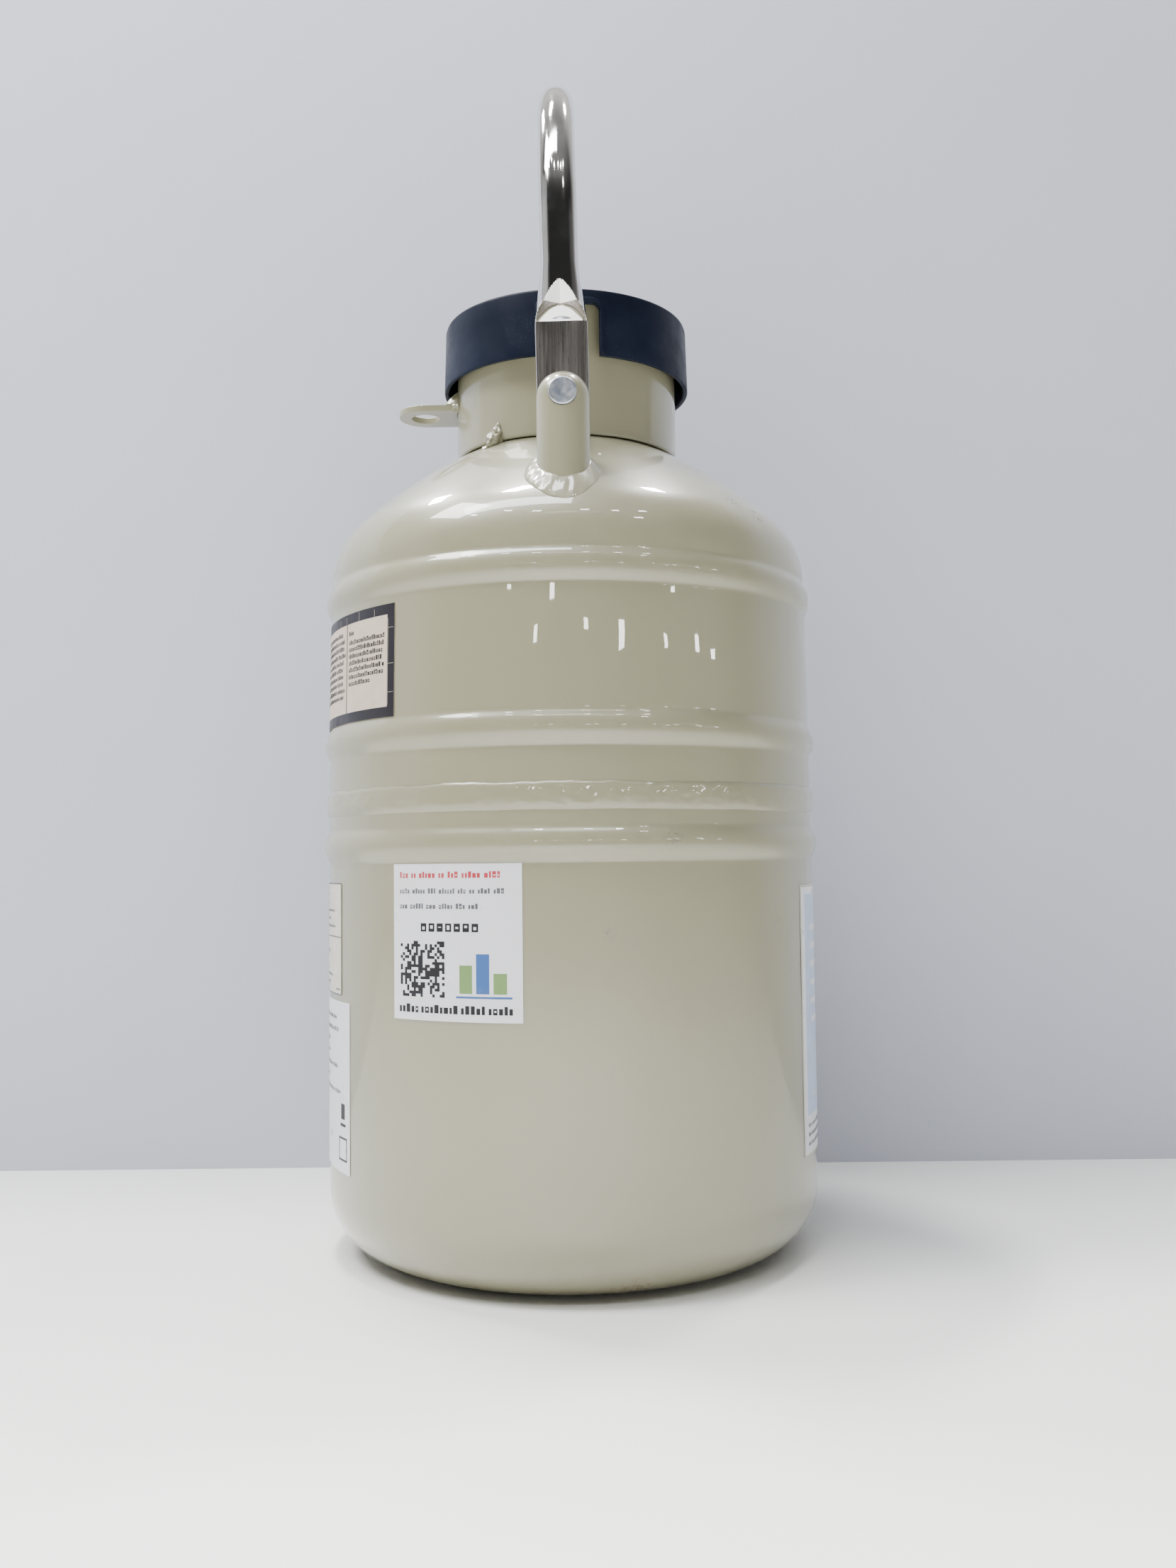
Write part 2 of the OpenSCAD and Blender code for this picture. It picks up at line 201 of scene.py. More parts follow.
# ------------------------------------------------------------------ material helpers
class Mat:
    def __init__(self, name, color, rough=0.4, metal=0.0, coat=0.0, coat_rough=0.05, spec=0.5, ior=1.5):
        self.m = bpy.data.materials.new(name)
        self.m.use_nodes = True
        self.nt = self.m.node_tree
        self.b = self.nt.nodes["Principled BSDF"]
        self.b.inputs["Base Color"].default_value = (*color, 1)
        self.b.inputs["Roughness"].default_value = rough
        self.b.inputs["Metallic"].default_value = metal
        self.b.inputs["IOR"].default_value = ior
        self.b.inputs["Coat Weight"].default_value = coat
        self.b.inputs["Coat Roughness"].default_value = coat_rough
        self.tc = self.nt.nodes.new("ShaderNodeTexCoord")
        self.color, self.rough = color, rough
        self._h = None

    def new(self, t, **kw):
        n = self.nt.nodes.new(t)
        for k, v in kw.items():
            setattr(n, k, v)
        return n

    def link(self, a, b):
        self.nt.links.new(a, b)

    def vec(self, scale=(1, 1, 1), loc=(0, 0, 0), rot=(0, 0, 0)):
        mp = self.new("ShaderNodeMapping")
        mp.inputs["Scale"].default_value = scale
        mp.inputs["Location"].default_value = loc
        mp.inputs["Rotation"].default_value = rot
        self.link(self.tc.outputs["Object"], mp.inputs["Vector"])
        return mp.outputs["Vector"]

    def noise(self, scale, detail=2.0, rough=0.5, vec=None, dist=0.0):
        n = self.new("ShaderNodeTexNoise")
        n.inputs["Scale"].default_value = scale
        n.inputs["Detail"].default_value = detail
        n.inputs["Roughness"].default_value = rough
        n.inputs["Distortion"].default_value = dist
        self.link(vec if vec is not None else self.tc.outputs["Object"], n.inputs["Vector"])
        return n.outputs["Fac"]

    def vor(self, scale, vec=None, feature="F1"):
        n = self.new("ShaderNodeTexVoronoi", feature=feature)
        n.inputs["Scale"].default_value = scale
        self.link(vec if vec is not None else self.tc.outputs["Object"], n.inputs["Vector"])
        return n.outputs["Distance"]

    def ramp(self, fac, a, b, va=0.0, vb=1.0):
        if a > b:
            a, b, va, vb = b, a, vb, va
        n = self.new("ShaderNodeMapRange")
        n.interpolation_type = "SMOOTHSTEP"
        n.inputs["From Min"].default_value = a
        n.inputs["From Max"].default_value = b
        n.inputs["To Min"].default_value = va
        n.inputs["To Max"].default_value = vb
        self.link(fac, n.inputs["Value"])
        return n.outputs["Result"]

    def math(self, op, a, b=None, clamp=False):
        n = self.new("ShaderNodeMath", operation=op, use_clamp=clamp)
        for i, v in enumerate((a, b)):
            if v is None:
                continue
            if isinstance(v, (int, float)):
                n.inputs[i].default_value = v
            else:
                self.link(v, n.inputs[i])
        return n.outputs[0]

    def mix(self, fac, a, b):
        n = self.new("ShaderNodeMix", data_type="RGBA")
        for i, v in ((0, fac), (6, a), (7, b)):
            if isinstance(v, (int, float)):
                n.inputs[i].default_value = v
            elif isinstance(v, tuple):
                n.inputs[i].default_value = (*v, 1)
            else:
                self.link(v, n.inputs[i])
        return n.outputs[2]

    def dist(self, p, stretch=(1, 1, 1)):
        """Distance from a point given in mm, in metres, with each axis divided by stretch."""
        mp = self.new("ShaderNodeMapping")
        mp.inputs["Scale"].default_value = tuple(1 / s for s in stretch)
        mp.inputs["Location"].default_value = tuple(-c * MM / s for c, s in zip(p, stretch))
        self.link(self.tc.outputs["Object"], mp.inputs["Vector"])
        n = self.new("ShaderNodeVectorMath", operation="LENGTH")
        self.link(mp.outputs["Vector"], n.inputs[0])
        return n.outputs["Value"]

    def xyz(self):
        s = self.new("ShaderNodeSeparateXYZ")
        self.link(self.tc.outputs["Object"], s.inputs[0])
        return s.outputs

    def set_color(self, c):
        self.link(c, self.b.inputs["Base Color"])

    def set_rough(self, r):
        self.link(r, self.b.inputs["Roughness"])

    def bump(self, height, strength, distance):
        n = self.new("ShaderNodeBump")
        n.inputs["Strength"].default_value = strength
        n.inputs["Distance"].default_value = distance
        self.link(height, n.inputs["Height"])
        if self._h is not None:
            self.link(self._h, n.inputs["Normal"])
        self._h = n.outputs["Normal"]
        self.link(self._h, self.b.inputs["Normal"])


def on_wall(az, z, r=LOW_R):
    a = math.radians(az)
    return (r * math.sin(a), -r * math.cos(a), z)


def paint(name, wear=True):
    m = Mat(name, (0.280, 0.268, 0.176), rough=0.34, coat=1.0, coat_rough=0.012)
    x, y, z = m.xyz()
    big = m.noise(7.0, 1.0, 0.5)
    c = m.mix(m.ramp(big, 0.25, 0.75), (0.276, 0.264, 0.172), (0.284, 0.272, 0.179))
    # grime that gathers near the floor
    low = m.ramp(z, 0.032, 0.0, 0.0, 1.0)
    gr = m.math("MULTIPLY", low, m.ramp(m.noise(45.0, 5.0, 0.65), 0.45, 0.75))
    c = m.mix(m.math("MULTIPLY", gr, 0.45), c, (0.20, 0.15, 0.10))
    rgh = m.ramp(m.noise(24.0, 1.0, 0.5), 0.2, 0.8, 0.325, 0.355)
    if wear:
        shell_marks = [  # place, size mm, noise scale, colour, strength
            (on_wall(8.5, 144), 4.0, 900, (0.20, 0.19, 0.17), 0.85),
            (on_wall(13.2, 141), 5.5, 1100, (0.25, 0.24, 0.21), 0.60),
            (on_wall(11.0, 4, 92), 14.0, 420, (0.22, 0.13, 0.07), 0.80),
            (on_wall(15.0, 7, 98), 10.0, 500, (0.20, 0.12, 0.07), 0.75),
            # two near-black marks on the right of the shoulder, at 46 and 53 degrees; the cause is not given
            (on_wall(46, 323, 98), 7.0, 800, (0.05, 0.045, 0.04), 0.95),
            (on_wall(53, 318, 102), 7.0, 700, (0.06, 0.05, 0.045), 0.90),
            (on_wall(58, 128), 5.0, 800, (0.30, 0.26, 0.20), 0.75),
            (on_wall(52, 148), 3.0, 700, (0.22, 0.19, 0.15), 0.70),
            (on_wall(63, 60), 4.0, 700, (0.22, 0.19, 0.15), 0.70),
            (on_wall(30, 100), 3.0, 900, (0.35, 0.31, 0.25), 0.60),
            (on_wall(22, 181, 112.8), 6.0, 900, (0.16, 0.14, 0.12), 0.80),
            (on_wall(-62, 172), 5.0, 900, (0.30, 0.27, 0.22), 0.60),
            (on_wall(160, 90), 8.0, 700, (0.26, 0.23, 0.19), 0.75),
            (on_wall(-150, 150), 7.0, 700, (0.26, 0.23, 0.19), 0.75),
            (on_wall(115, 226, 112.6), 8.0, 800, (0.20, 0.18, 0.15), 0.85),
            (on_wall(-128, 290, 111.5), 8.0, 800, (0.20, 0.18, 0.15), 0.85),
        ]
        for p, s, sc, col, k in shell_marks:
            d = m.ramp(m.dist(p), s * MM, s * 0.25 * MM)
            nz = m.ramp(m.noise(sc, 3.0, 0.7), 0.52, 0.60)
            f = m.math("MULTIPLY", m.math("MULTIPLY", d, nz), k)
            c = m.mix(f, c, col)
            rgh = m.math("ADD", rgh, m.math("MULTIPLY", f, 0.35))
    m.set_color(c)
    m.set_rough(rgh)
    m.bump(m.noise(420.0, 2.0, 0.5), 0.05, 0.0004)     # orange peel
    m.bump(m.noise(150.0, 2.0, 0.5), 0.09, 0.0005)
    m.bump(m.noise(55.0, 2.0, 0.5), 0.15, 0.0006)      # slow waves of the spun sheet
    return m.m


def plastic(name, color, rough=0.36, dust=0.15, spec=0.5):
    m = Mat(name, color, rough=rough)
    m.b.inputs["Specular IOR Level"].default_value = spec
    c = m.mix(m.ramp(m.noise(30.0, 4.0, 0.6), 0.35, 0.7), color, tuple(min(1, v * 1.5 + 0.004) for v in color))
    specks = m.math("MULTIPLY", m.ramp(m.vor(700.0), 0.16, 0.05), m.ramp(m.noise(60.0, 2.0, 0.5), 0.5, 0.62))
    c = m.mix(m.math("MULTIPLY", specks, dust), c, (0.30, 0.31, 0.34))
    m.set_color(c)
    m.set_rough(m.ramp(m.noise(55.0, 5.0, 0.65), 0.3, 0.75, rough - 0.07, rough + 0.12))
    m.bump(m.noise(1500.0, 2.0, 0.5), 0.12, 0.00012)
    m.bump(m.noise(60.0, 2.0, 0.4), 0.06, 0.0006)
    return m.m


def spun(name, color, rough=0.3, ring=900.0):
    m = Mat(name, color, rough=rough, metal=1.0)
    x, y, z = m.xyz()
    rr = m.math("SQRT", m.math("ADD", m.math("MULTIPLY", x, x), m.math("MULTIPLY", y, y)))
    cmb = m.new("ShaderNodeCombineXYZ")
    m.link(m.math("MULTIPLY", rr, ring), cmb.inputs[0])
    m.link(m.math("MULTIPLY", z, ring), cmb.inputs[1])
    lines = m.noise(1.0, 3.0, 0.6, vec=cmb.outputs[0])
    m.set_color(m.mix(m.ramp(m.noise(40.0, 4.0, 0.6), 0.3, 0.75), color, tuple(v * 0.82 for v in color)))
    m.set_rough(m.ramp(lines, 0.3, 0.7, rough - 0.08, rough + 0.14))
    m.bump(lines, 0.22, 0.00012)
    return m.m


M_PAINT = paint("cream_paint_worn")
M_PAINT_S = paint("cream_paint_small", wear=False)
M_LID = plastic("navy_moulded_plastic", (0.0038, 0.0066, 0.0165), rough=0.42, spec=0.12)
M_BLACK = plastic("black_plastic", (0.02, 0.02, 0.022), rough=0.5)
M_ALU = spun("spun_aluminium", (0.62, 0.63, 0.65))


def m_tube():
    m = Mat("polished_tube", (0.70, 0.69, 0.69), rough=0.07, metal=1.0)
    c = m.mix(m.ramp(m.noise(35.0, 4.0, 0.6), 0.4, 0.75), (0.72, 0.71, 0.71), (0.58, 0.57, 0.56))
    hair = m.noise(1.0, 2.0, 0.6, vec=m.vec(scale=(1400, 60, 60), rot=(0, 0.15, 0)))
    marks = m.math("MULTIPLY", m.ramp(hair, 0.66, 0.74), m.ramp(m.noise(30.0, 2.0, 0.5), 0.48, 0.62))
    m.set_color(m.mix(m.math("MULTIPLY", marks, 0.25), c, (0.42, 0.41, 0.40)))
    smear = m.ramp(m.noise(26.0, 5.0, 0.6), 0.42, 0.75, 0.045, 0.17)
    m.set_rough(m.math("ADD", smear, m.math("MULTIPLY", marks, 0.22)))
    m.bump(m.noise(85.0, 2.0, 0.5), 0.10, 0.0004)
    m.bump(hair, 0.05, 0.00006)
    return m.m


def m_brushed():
    m = Mat("brushed_flat", (0.40, 0.375, 0.355), rough=0.34, metal=1.0)
    streak = m.noise(1.0, 4.0, 0.7, vec=m.vec(scale=(2600, 900, 34)))
    wide = m.noise(1.0, 2.0, 0.5, vec=m.vec(scale=(420, 420, 14)))
    c = m.mix(m.ramp(wide, 0.34, 0.68), (0.20, 0.185, 0.172), (0.38, 0.355, 0.335))
    c = m.mix(m.ramp(m.noise(900.0, 3.0, 0.6), 0.62, 0.72, 0, 0.5), c, (0.14, 0.12, 0.11))
    m.set_color(c)
    m.set_rough(m.ramp(streak, 0.3, 0.7, 0.24, 0.46))
    m.bump(streak, 0.30, 0.00010)
    return m.m


def m_zinc():
    m = Mat("zinc_plated_steel", (0.42, 0.46, 0.53), rough=0.36, metal=0.85)
    c = m.mix(m.ramp(m.noise(260.0, 4.0, 0.65), 0.38, 0.66), (0.36, 0.40, 0.48), (0.56, 0.58, 0.60))
    c = m.mix(m.ramp(m.vor(900.0), 0.22, 0.05, 0, 0.5), c, (0.24, 0.26, 0.32))
    m.set_color(c)
    m.set_rough(m.ramp(m.noise(340.0, 4.0, 0.6), 0.3, 0.7, 0.28, 0.5))
    m.bump(m.noise(700.0, 3.0, 0.6), 0.25, 0.0001)
    return m.m


def m_foam():
    m = Mat("plug_foam", (0.78, 0.77, 0.70), rough=0.85)
    cells = m.vor(520.0, feature="F1")
    m.set_color(m.mix(m.ramp(cells, 0.05, 0.5), (0.60, 0.58, 0.50), (0.82, 0.81, 0.75)))
    m.set_rough(m.ramp(cells, 0.0, 0.6, 0.7, 0.95))
    m.bump(cells, 0.6, 0.0004)
    return m.m


def m_grp():
    m = Mat("glass_fibre_laminate", (0.46, 0.37, 0.19), rough=0.3, coat=0.3, coat_rough=0.12)
    w = m.noise(1.0, 3.0, 0.6, vec=m.vec(scale=(500, 500, 1800)))
    m.set_color(m.mix(m.ramp(w, 0.3, 0.7), (0.36, 0.28, 0.13), (0.56, 0.47, 0.27)))
    m.set_rough(m.ramp(w, 0.3, 0.7, 0.22, 0.42))
    m.bump(w, 0.2, 0.0001)
    return m.m


def m_foil():
    m = Mat("crinkled_foil", (0.76, 0.76, 0.78), rough=0.2, metal=1.0)
    a = m.vor(70.0, vec=m.vec(scale=(1, 1, 1.8)))
    b = m.noise(160.0, 5.0, 0.7)
    m.set_color(m.mix(m.ramp(b, 0.35, 0.7), (0.66, 0.66, 0.69), (0.82, 0.82, 0.83)))
    m.set_rough(m.ramp(b, 0.3, 0.7, 0.14, 0.34))
    m.bump(a, 0.7, 0.0018)
    m.bump(b, 0.5, 0.0008)
    return m.m


def m_pellets():
    m = Mat("getter_granules", (0.05, 0.048, 0.045), rough=0.9)
    v = m.vor(420.0)
    m.set_color(m.mix(m.ramp(v, 0.1, 0.6), (0.07, 0.066, 0.06), (0.015, 0.015, 0.015)))
    m.set_rough(m.ramp(v, 0.0, 0.6, 0.75, 0.95))
    m.bump(v, 1.0, 0.0016)
    return m.m


def m_rubber():
    m = Mat("black_rubber", (0.014, 0.014, 0.015), rough=0.62)
    n = m.noise(600.0, 3.0, 0.6)
    m.set_color(m.mix(m.ramp(n, 0.4, 0.8), (0.012, 0.012, 0.013), (0.035, 0.035, 0.036)))
    m.set_rough(m.ramp(n, 0.3, 0.7, 0.5, 0.75))
    m.bump(n, 0.2, 0.0001)
    return m.m


def m_nylon():
    m = Mat("white_nylon", (0.76, 0.75, 0.70), rough=0.42)
    n = m.noise(300.0, 3.0, 0.6)
    m.set_color(m.mix(m.ramp(n, 0.3, 0.8), (0.70, 0.69, 0.63), (0.80, 0.79, 0.75)))
    m.set_rough(m.ramp(n, 0.3, 0.7, 0.34, 0.5))
    m.bump(n, 0.12, 0.0001)
    return m.m


def film(name, color, rough=0.35, dirt=(0.55, 0.53, 0.48), k=0.18):
    m = Mat(name, color, rough=rough)
    m.b.inputs["Specular IOR Level"].default_value = 0.35 if max(color) < 0.2 else 0.5
    n = m.noise(60.0, 5.0, 0.65)
    c = m.mix(m.ramp(n, 0.45, 0.8, 0.0, k), color, dirt)
    c = m.mix(m.ramp(m.noise(1500.0, 2.0, 0.6), 0.60, 0.75, 0.0, 0.12), c, tuple(v * 0.75 for v in color))
    m.set_color(c)
    m.set_rough(m.ramp(n, 0.3, 0.75, rough - 0.06, rough + 0.14))
    m.bump(m.noise(130.0, 3.0, 0.5), 0.10, 0.0003)
    m.bump(m.noise(2200.0, 2.0, 0.5), 0.08, 0.00004)
    return m.m


M_TUBE, M_BRUSH, M_ZINC = m_tube(), m_brushed(), m_zinc()
M_FOAM, M_GRP, M_FOIL, M_PEL, M_RUB, M_NYL = m_foam(), m_grp(), m_foil(), m_pellets(), m_rubber(), m_nylon()
M_WHITE = film("label_white", (0.74, 0.74, 0.79), 0.32)
M_TAN = film("label_tan", (0.60, 0.50, 0.40), 0.4, dirt=(0.42, 0.33, 0.25), k=0.5)
M_CLEAR = film("label_cream_film", (0.63, 0.605, 0.505), 0.2)
M_INK = film("ink_black", (0.010, 0.009, 0.013), 0.42, dirt=(0.04, 0.035, 0.035), k=0.3)
M_GREY = film("ink_grey", (0.10, 0.10, 0.115), 0.42)
M_RED = film("ink_red", (0.46, 0.035, 0.05), 0.42)
M_BLUE = film("ink_blue", (0.035, 0.11, 0.33), 0.42)
M_PALE = film("ink_pale_blue", (0.47, 0.56, 0.74), 0.34)
M_OLIVE = film("ink_olive", (0.36, 0.35, 0.14), 0.42)
M_GREEN = film("ink_green", (0.16, 0.27, 0.09), 0.42)

# ------------------------------------------------------------------ outer shells
SEG = 288


def shell_disp(r, z, a):
    k = 0.10 * n3(math.sin(a) * 3.2, math.cos(a) * 3.2, z * 0.028) + 0.035 * n3(math.sin(a) * 11, math.cos(a) * 11, z * 0.09, 2)
    return k, 0.0


def upper_profile():
    a0 = math.asin((47.05 - DCR) / DOME_R)
    p = arcp(DCR, DCZ, DOME_R, a0, JA, 26)
    p += arcp(SCR, SCZ, SHOULDER_R, JA + 0.06, math.pi / 2, 24)
    z = SCZ - 0.9
    while z > GIRTH_Z + 0.1:
        p.append((wall_with_ribs(z), z))
        near = min(abs(z - zc) for zc in RIBS[:2])
        z -= 0.55 if near < 10.5 else 3.0
    p.append((LOW_R, GIRTH_Z + 0.03))
    inner = [(LOW_R - 2, GIRTH_Z + 0.03), (LOW_R - 2, 216), (wall_r(225) + 0.1, 222), (wall_r(225) + 0.1, 228), (wall_r(234) - 2, 234),
             (wall_r(280) - 2, 280), (wall_r(289) + 0.1, 286.5), (wall_r(289) + 0.1, 292.5), (TOP_R - 2, SCZ)]
    inner += arcp(SCR, SCZ, SHOULDER_R - 2, math.pi / 2 - 0.1, JA, 8)
    inner += arcp(DCR, DCZ, DOME_R - 2, JA - 0.02, math.asin((47.05 - DCR) / (DOME_R - 2)), 8)
    return p + inner


def lower_profile():
    p = [(LOW_R, GIRTH_Z)]
    z = GIRTH_Z - 1.2
    while z > BASE_R + 0.5:
        p.append((wall_with_ribs(z), z))
        near = abs(z - RIBS[2])
        z -= 0.55 if near < 10.5 else 4.0
    p += arcp(LOW_R - BASE_R, BASE_R, BASE_R, math.pi / 2, math.pi, 28)
    p += [(72.0, 0.0), (64.6, 0.0), (63.8, 0.06), (62.8, 0.35), (59.3, 2.6), (58.0, 3.0), (40, 3.0), (20, 3.0), (0, 3.0), (0, 5.0),
          (57.4, 5.0), (63.4, 2.0)]
    p += arcp(LOW_R - BASE_R, BASE_R, BASE_R - 2, math.pi, math.pi / 2, 10)
    p += [(LOW_R - 2, 172), (LOW_R + 0.1, 176.5), (LOW_R + 0.1, 182.5), (LOW_R - 2, 187), (LOW_R - 2, GIRTH_Z)]
    return p


V, F = lathe(upper_profile(), SEG, lambda r, z, a: shell_disp(r, z, a) if 60 < r and z > 206 else (0, 0))
fix_normals(make("shell_upper_painted", V, F, M_PAINT, "vessel", "outer_shell_upper"))
V, F = lathe(lower_profile(), SEG, lambda r, z, a: shell_disp(r, z, a) if r > LOW_R - 1 and 40 < z < 192 else (0, 0))
fix_normals(make("shell_lower_painted", V, F, M_PAINT, "vessel", "outer_shell_lower"))


# girth weld: a low painted bead whose edges wander
def girth_profile():
    p, n = [], 22
    for i in range(n + 1):
        t = i / n
        z = 192.5 + 11.1 * t
        p.append((LOW_R + 0.95 * (1 - abs(2 * t - 1) ** 3.2), z))
    return [(LOW_R - 0.5, 192.5)] + p + [(LOW_R - 0.5, 203.6)]


def girth_disp(r, z, a):
    s, c = math.sin(a), math.cos(a)
    t = (z - 198) / 5.55
    up = 0.75 * n3(s * 5, c * 5, 0.3, 4) + 0.45 * n3(s * 19, c * 19, 0.3, 5)
    lo = 0.35 * n3(s * 6, c * 6, 0.9, 6)
    dz = up * max(t, 0) + lo * max(-t, 0)
    dr = 0.22 * n3(s * 22, c * 22, z * 0.28, 7) * (1 - abs(t) ** 2) + 0.10 * n3(s * 60, c * 60, z * 0.5, 8) * (1 - abs(t) ** 2)
    lip = 0.28 * math.exp(-((t - 0.80) / 0.16) ** 2) * (0.6 + 0.4 * n3(s * 24, c * 24, 1.0, 9))
    return dr + lip, dz


V, F = lathe(girth_profile(), 720, girth_disp)
fix_normals(make("girth_weld_bead", V, F, M_PAINT, "vessel", "girth_weld"))

# ------------------------------------------------------------------ collar
ri = COLLAR_R - COLLAR_T
prof = arcp(COLLAR_R - 1.25, COLLAR_TOP - 1.25, 1.25, math.pi / 2, 0, 6) + arcp(ri + 1.25, COLLAR_TOP - 1.25, 1.25, 0, -math.pi / 2, 6)
prof += [(ri, 400), (ri, 380), (ri, 362)] + arcp(ri + 0.9, 359.9, 0.9, -math.pi / 2, -math.pi, 4)
prof += arcp(COLLAR_R - 0.75, 359.75, 0.95, math.pi, math.pi / 2 + 0.3, 6)
prof += [(COLLAR_R + 0.12, 360.4), (COLLAR_R + 0.06, 361.6), (COLLAR_R, 363), (COLLAR_R, 372), (COLLAR_R, 384), (COLLAR_R, 400), (COLLAR_R, 412)]
V, F = lathe(prof, 240, lambda r, z, a: (0.05 * n3(math.sin(a) * 4, math.cos(a) * 4, z * 0.05, 3), 0.0) if r > 50 else (0, 0))
fix_normals(make("collar_painted", V, F, M_PAINT_S, "vessel", "neck_collar"))


# ------------------------------------------------------------------ weld blobs and beads
def blob(center, axes, seed, amp=0.22, sub=4):
    """A lumpy welded blob: a sphere with its three half axes given as vectors, in mm."""
    import bmesh
    bm = bmesh.new()
    bmesh.ops.create_icosphere(bm, subdivisions=sub, radius=1.0)
    ax = [Vector(a) for a in axes]
    vs = []
    for v in bm.verts:
        p = v.co
        k = 1 + amp * n3(p.x * 1.6, p.y * 1.6, p.z * 1.6, seed) + 0.4 * amp * n3(p.x * 4.5, p.y * 4.5, p.z * 4.5, seed + 3)
        q = Vector(center) + ax[0] * p.x * k + ax[1] * p.y * k + ax[2] * p.z * k
        vs.append(tuple(q))
    fs = [tuple(v.index for v in f.verts) for f in bm.faces]
    bm.free()
    return vs, fs


def join(parts):
    V, F = [], []
    for v, f in parts:
        o = len(V)
        V += list(v)
        F += [tuple(i + o for i in q) for q in f]
    return V, F


parts = []
for k, az in enumerate((-36.5, 143.0, 233.0)):
    a = math.radians(az)
    er, et = Vector((math.sin(a), -math.cos(a), 0)), Vector((math.cos(a), math.sin(a), 0))
    slope = Vector((math.sin(a) * 0.80, -math.cos(a) * 0.80, -0.60))
    nrm = Vector((math.sin(a) * 0.60, -math.cos(a) * 0.60, 0.80))
    base = er * 52.6 + Vector((0, 0, 359.2))
    parts.append(blob(base, (et * 3.6, slope * 5.4, nrm * 3.4), 11 + k, 0.3))
    parts.append(blob(er * 51.9 + et * 0.8 + Vector((0, 0, 362.0)), (et * 2.6, Vector((0, 0, 4.2)), er * 2.1), 21 + k, 0.35))
    parts.append(blob(er * 57.0 - et * 1.6 + Vector((0, 0, skin_z(57.0) + 0.2)), (et * 1.6, slope * 3.1, nrm * 0.9), 31 + k, 0.3, 3))
V, F = join(parts)
make("tack_weld_blobs", V, F, M_PAINT_S, "vessel", "collar_tack_welds")

# weld on the eye tab: a fillet on its upper side, thick at the front
def tab_fillet():
    V, F = [], []
    nA, nT = 60, 8
    rows = []
    for i in range(nA + 1):
        a = math.radians(-90 - 15.5 + 31.0 * i / nA)
        edge = min(i, nA - i) / nA
        k = min(1.0, edge * 9) ** 0.5
        rip = 1 + 0.16 * math.sin(i * 1.35) + 0.18 * n3(i * 0.35, 0.2, 0.4, 5)
        w, h = (4.6 * rip * k + 0.4), (5.2 * rip * k + 0.4)
        z0 = 385.3
        row = [(COLLAR_R - 0.7, z0 - 0.6)]
        for j in range(nT + 1):
            t = j / nT
            b = 0.42 + 0.18 * rip
            r_ = (1 - t) ** 2 * (COLLAR_R - 0.1) + 2 * t * (1 - t) * (COLLAR_R + w * b) + t * t * (COLLAR_R + w)
            z_ = (1 - t) ** 2 * (z0 + h) + 2 * t * (1 - t) * (z0 + h * b) + t * t * (z0 - 0.1)
            row.append((r_, z_))
        row.append((COLLAR_R + w * 0.6, z0 - 0.6))
        ids = []
        for r_, z_ in row:
            ids.append(len(V))
            V.append((r_ * math.sin(a), -r_ * math.cos(a), z_))
        rows.append(ids)
    m = len(rows[0])
    for i in range(nA):
        for j in range(m):
            jj = (j + 1) % m
            F.append((rows[i][j], rows[i + 1][j], rows[i + 1][jj], rows[i][jj]))
    F.append(tuple(rows[0]))
    F.append(tuple(reversed(rows[-1])))
    return V, F


V, F = join([tab_fillet(),
             blob((-50.9, -11.9, 384.4), ((2.4, -0.6, 0), (0.5, 2.2, 0), (0, 0, 2.6)), 41, 0.3),
             blob((-51.1, 11.8, 384.3), ((2.2, 0.6, 0), (-0.5, 2.0, 0), (0, 0, 2.4)), 43, 0.3)])
fix_normals(make("eye_tab_weld", V, F, M_PAINT_S, "vessel", "tab_weld"))


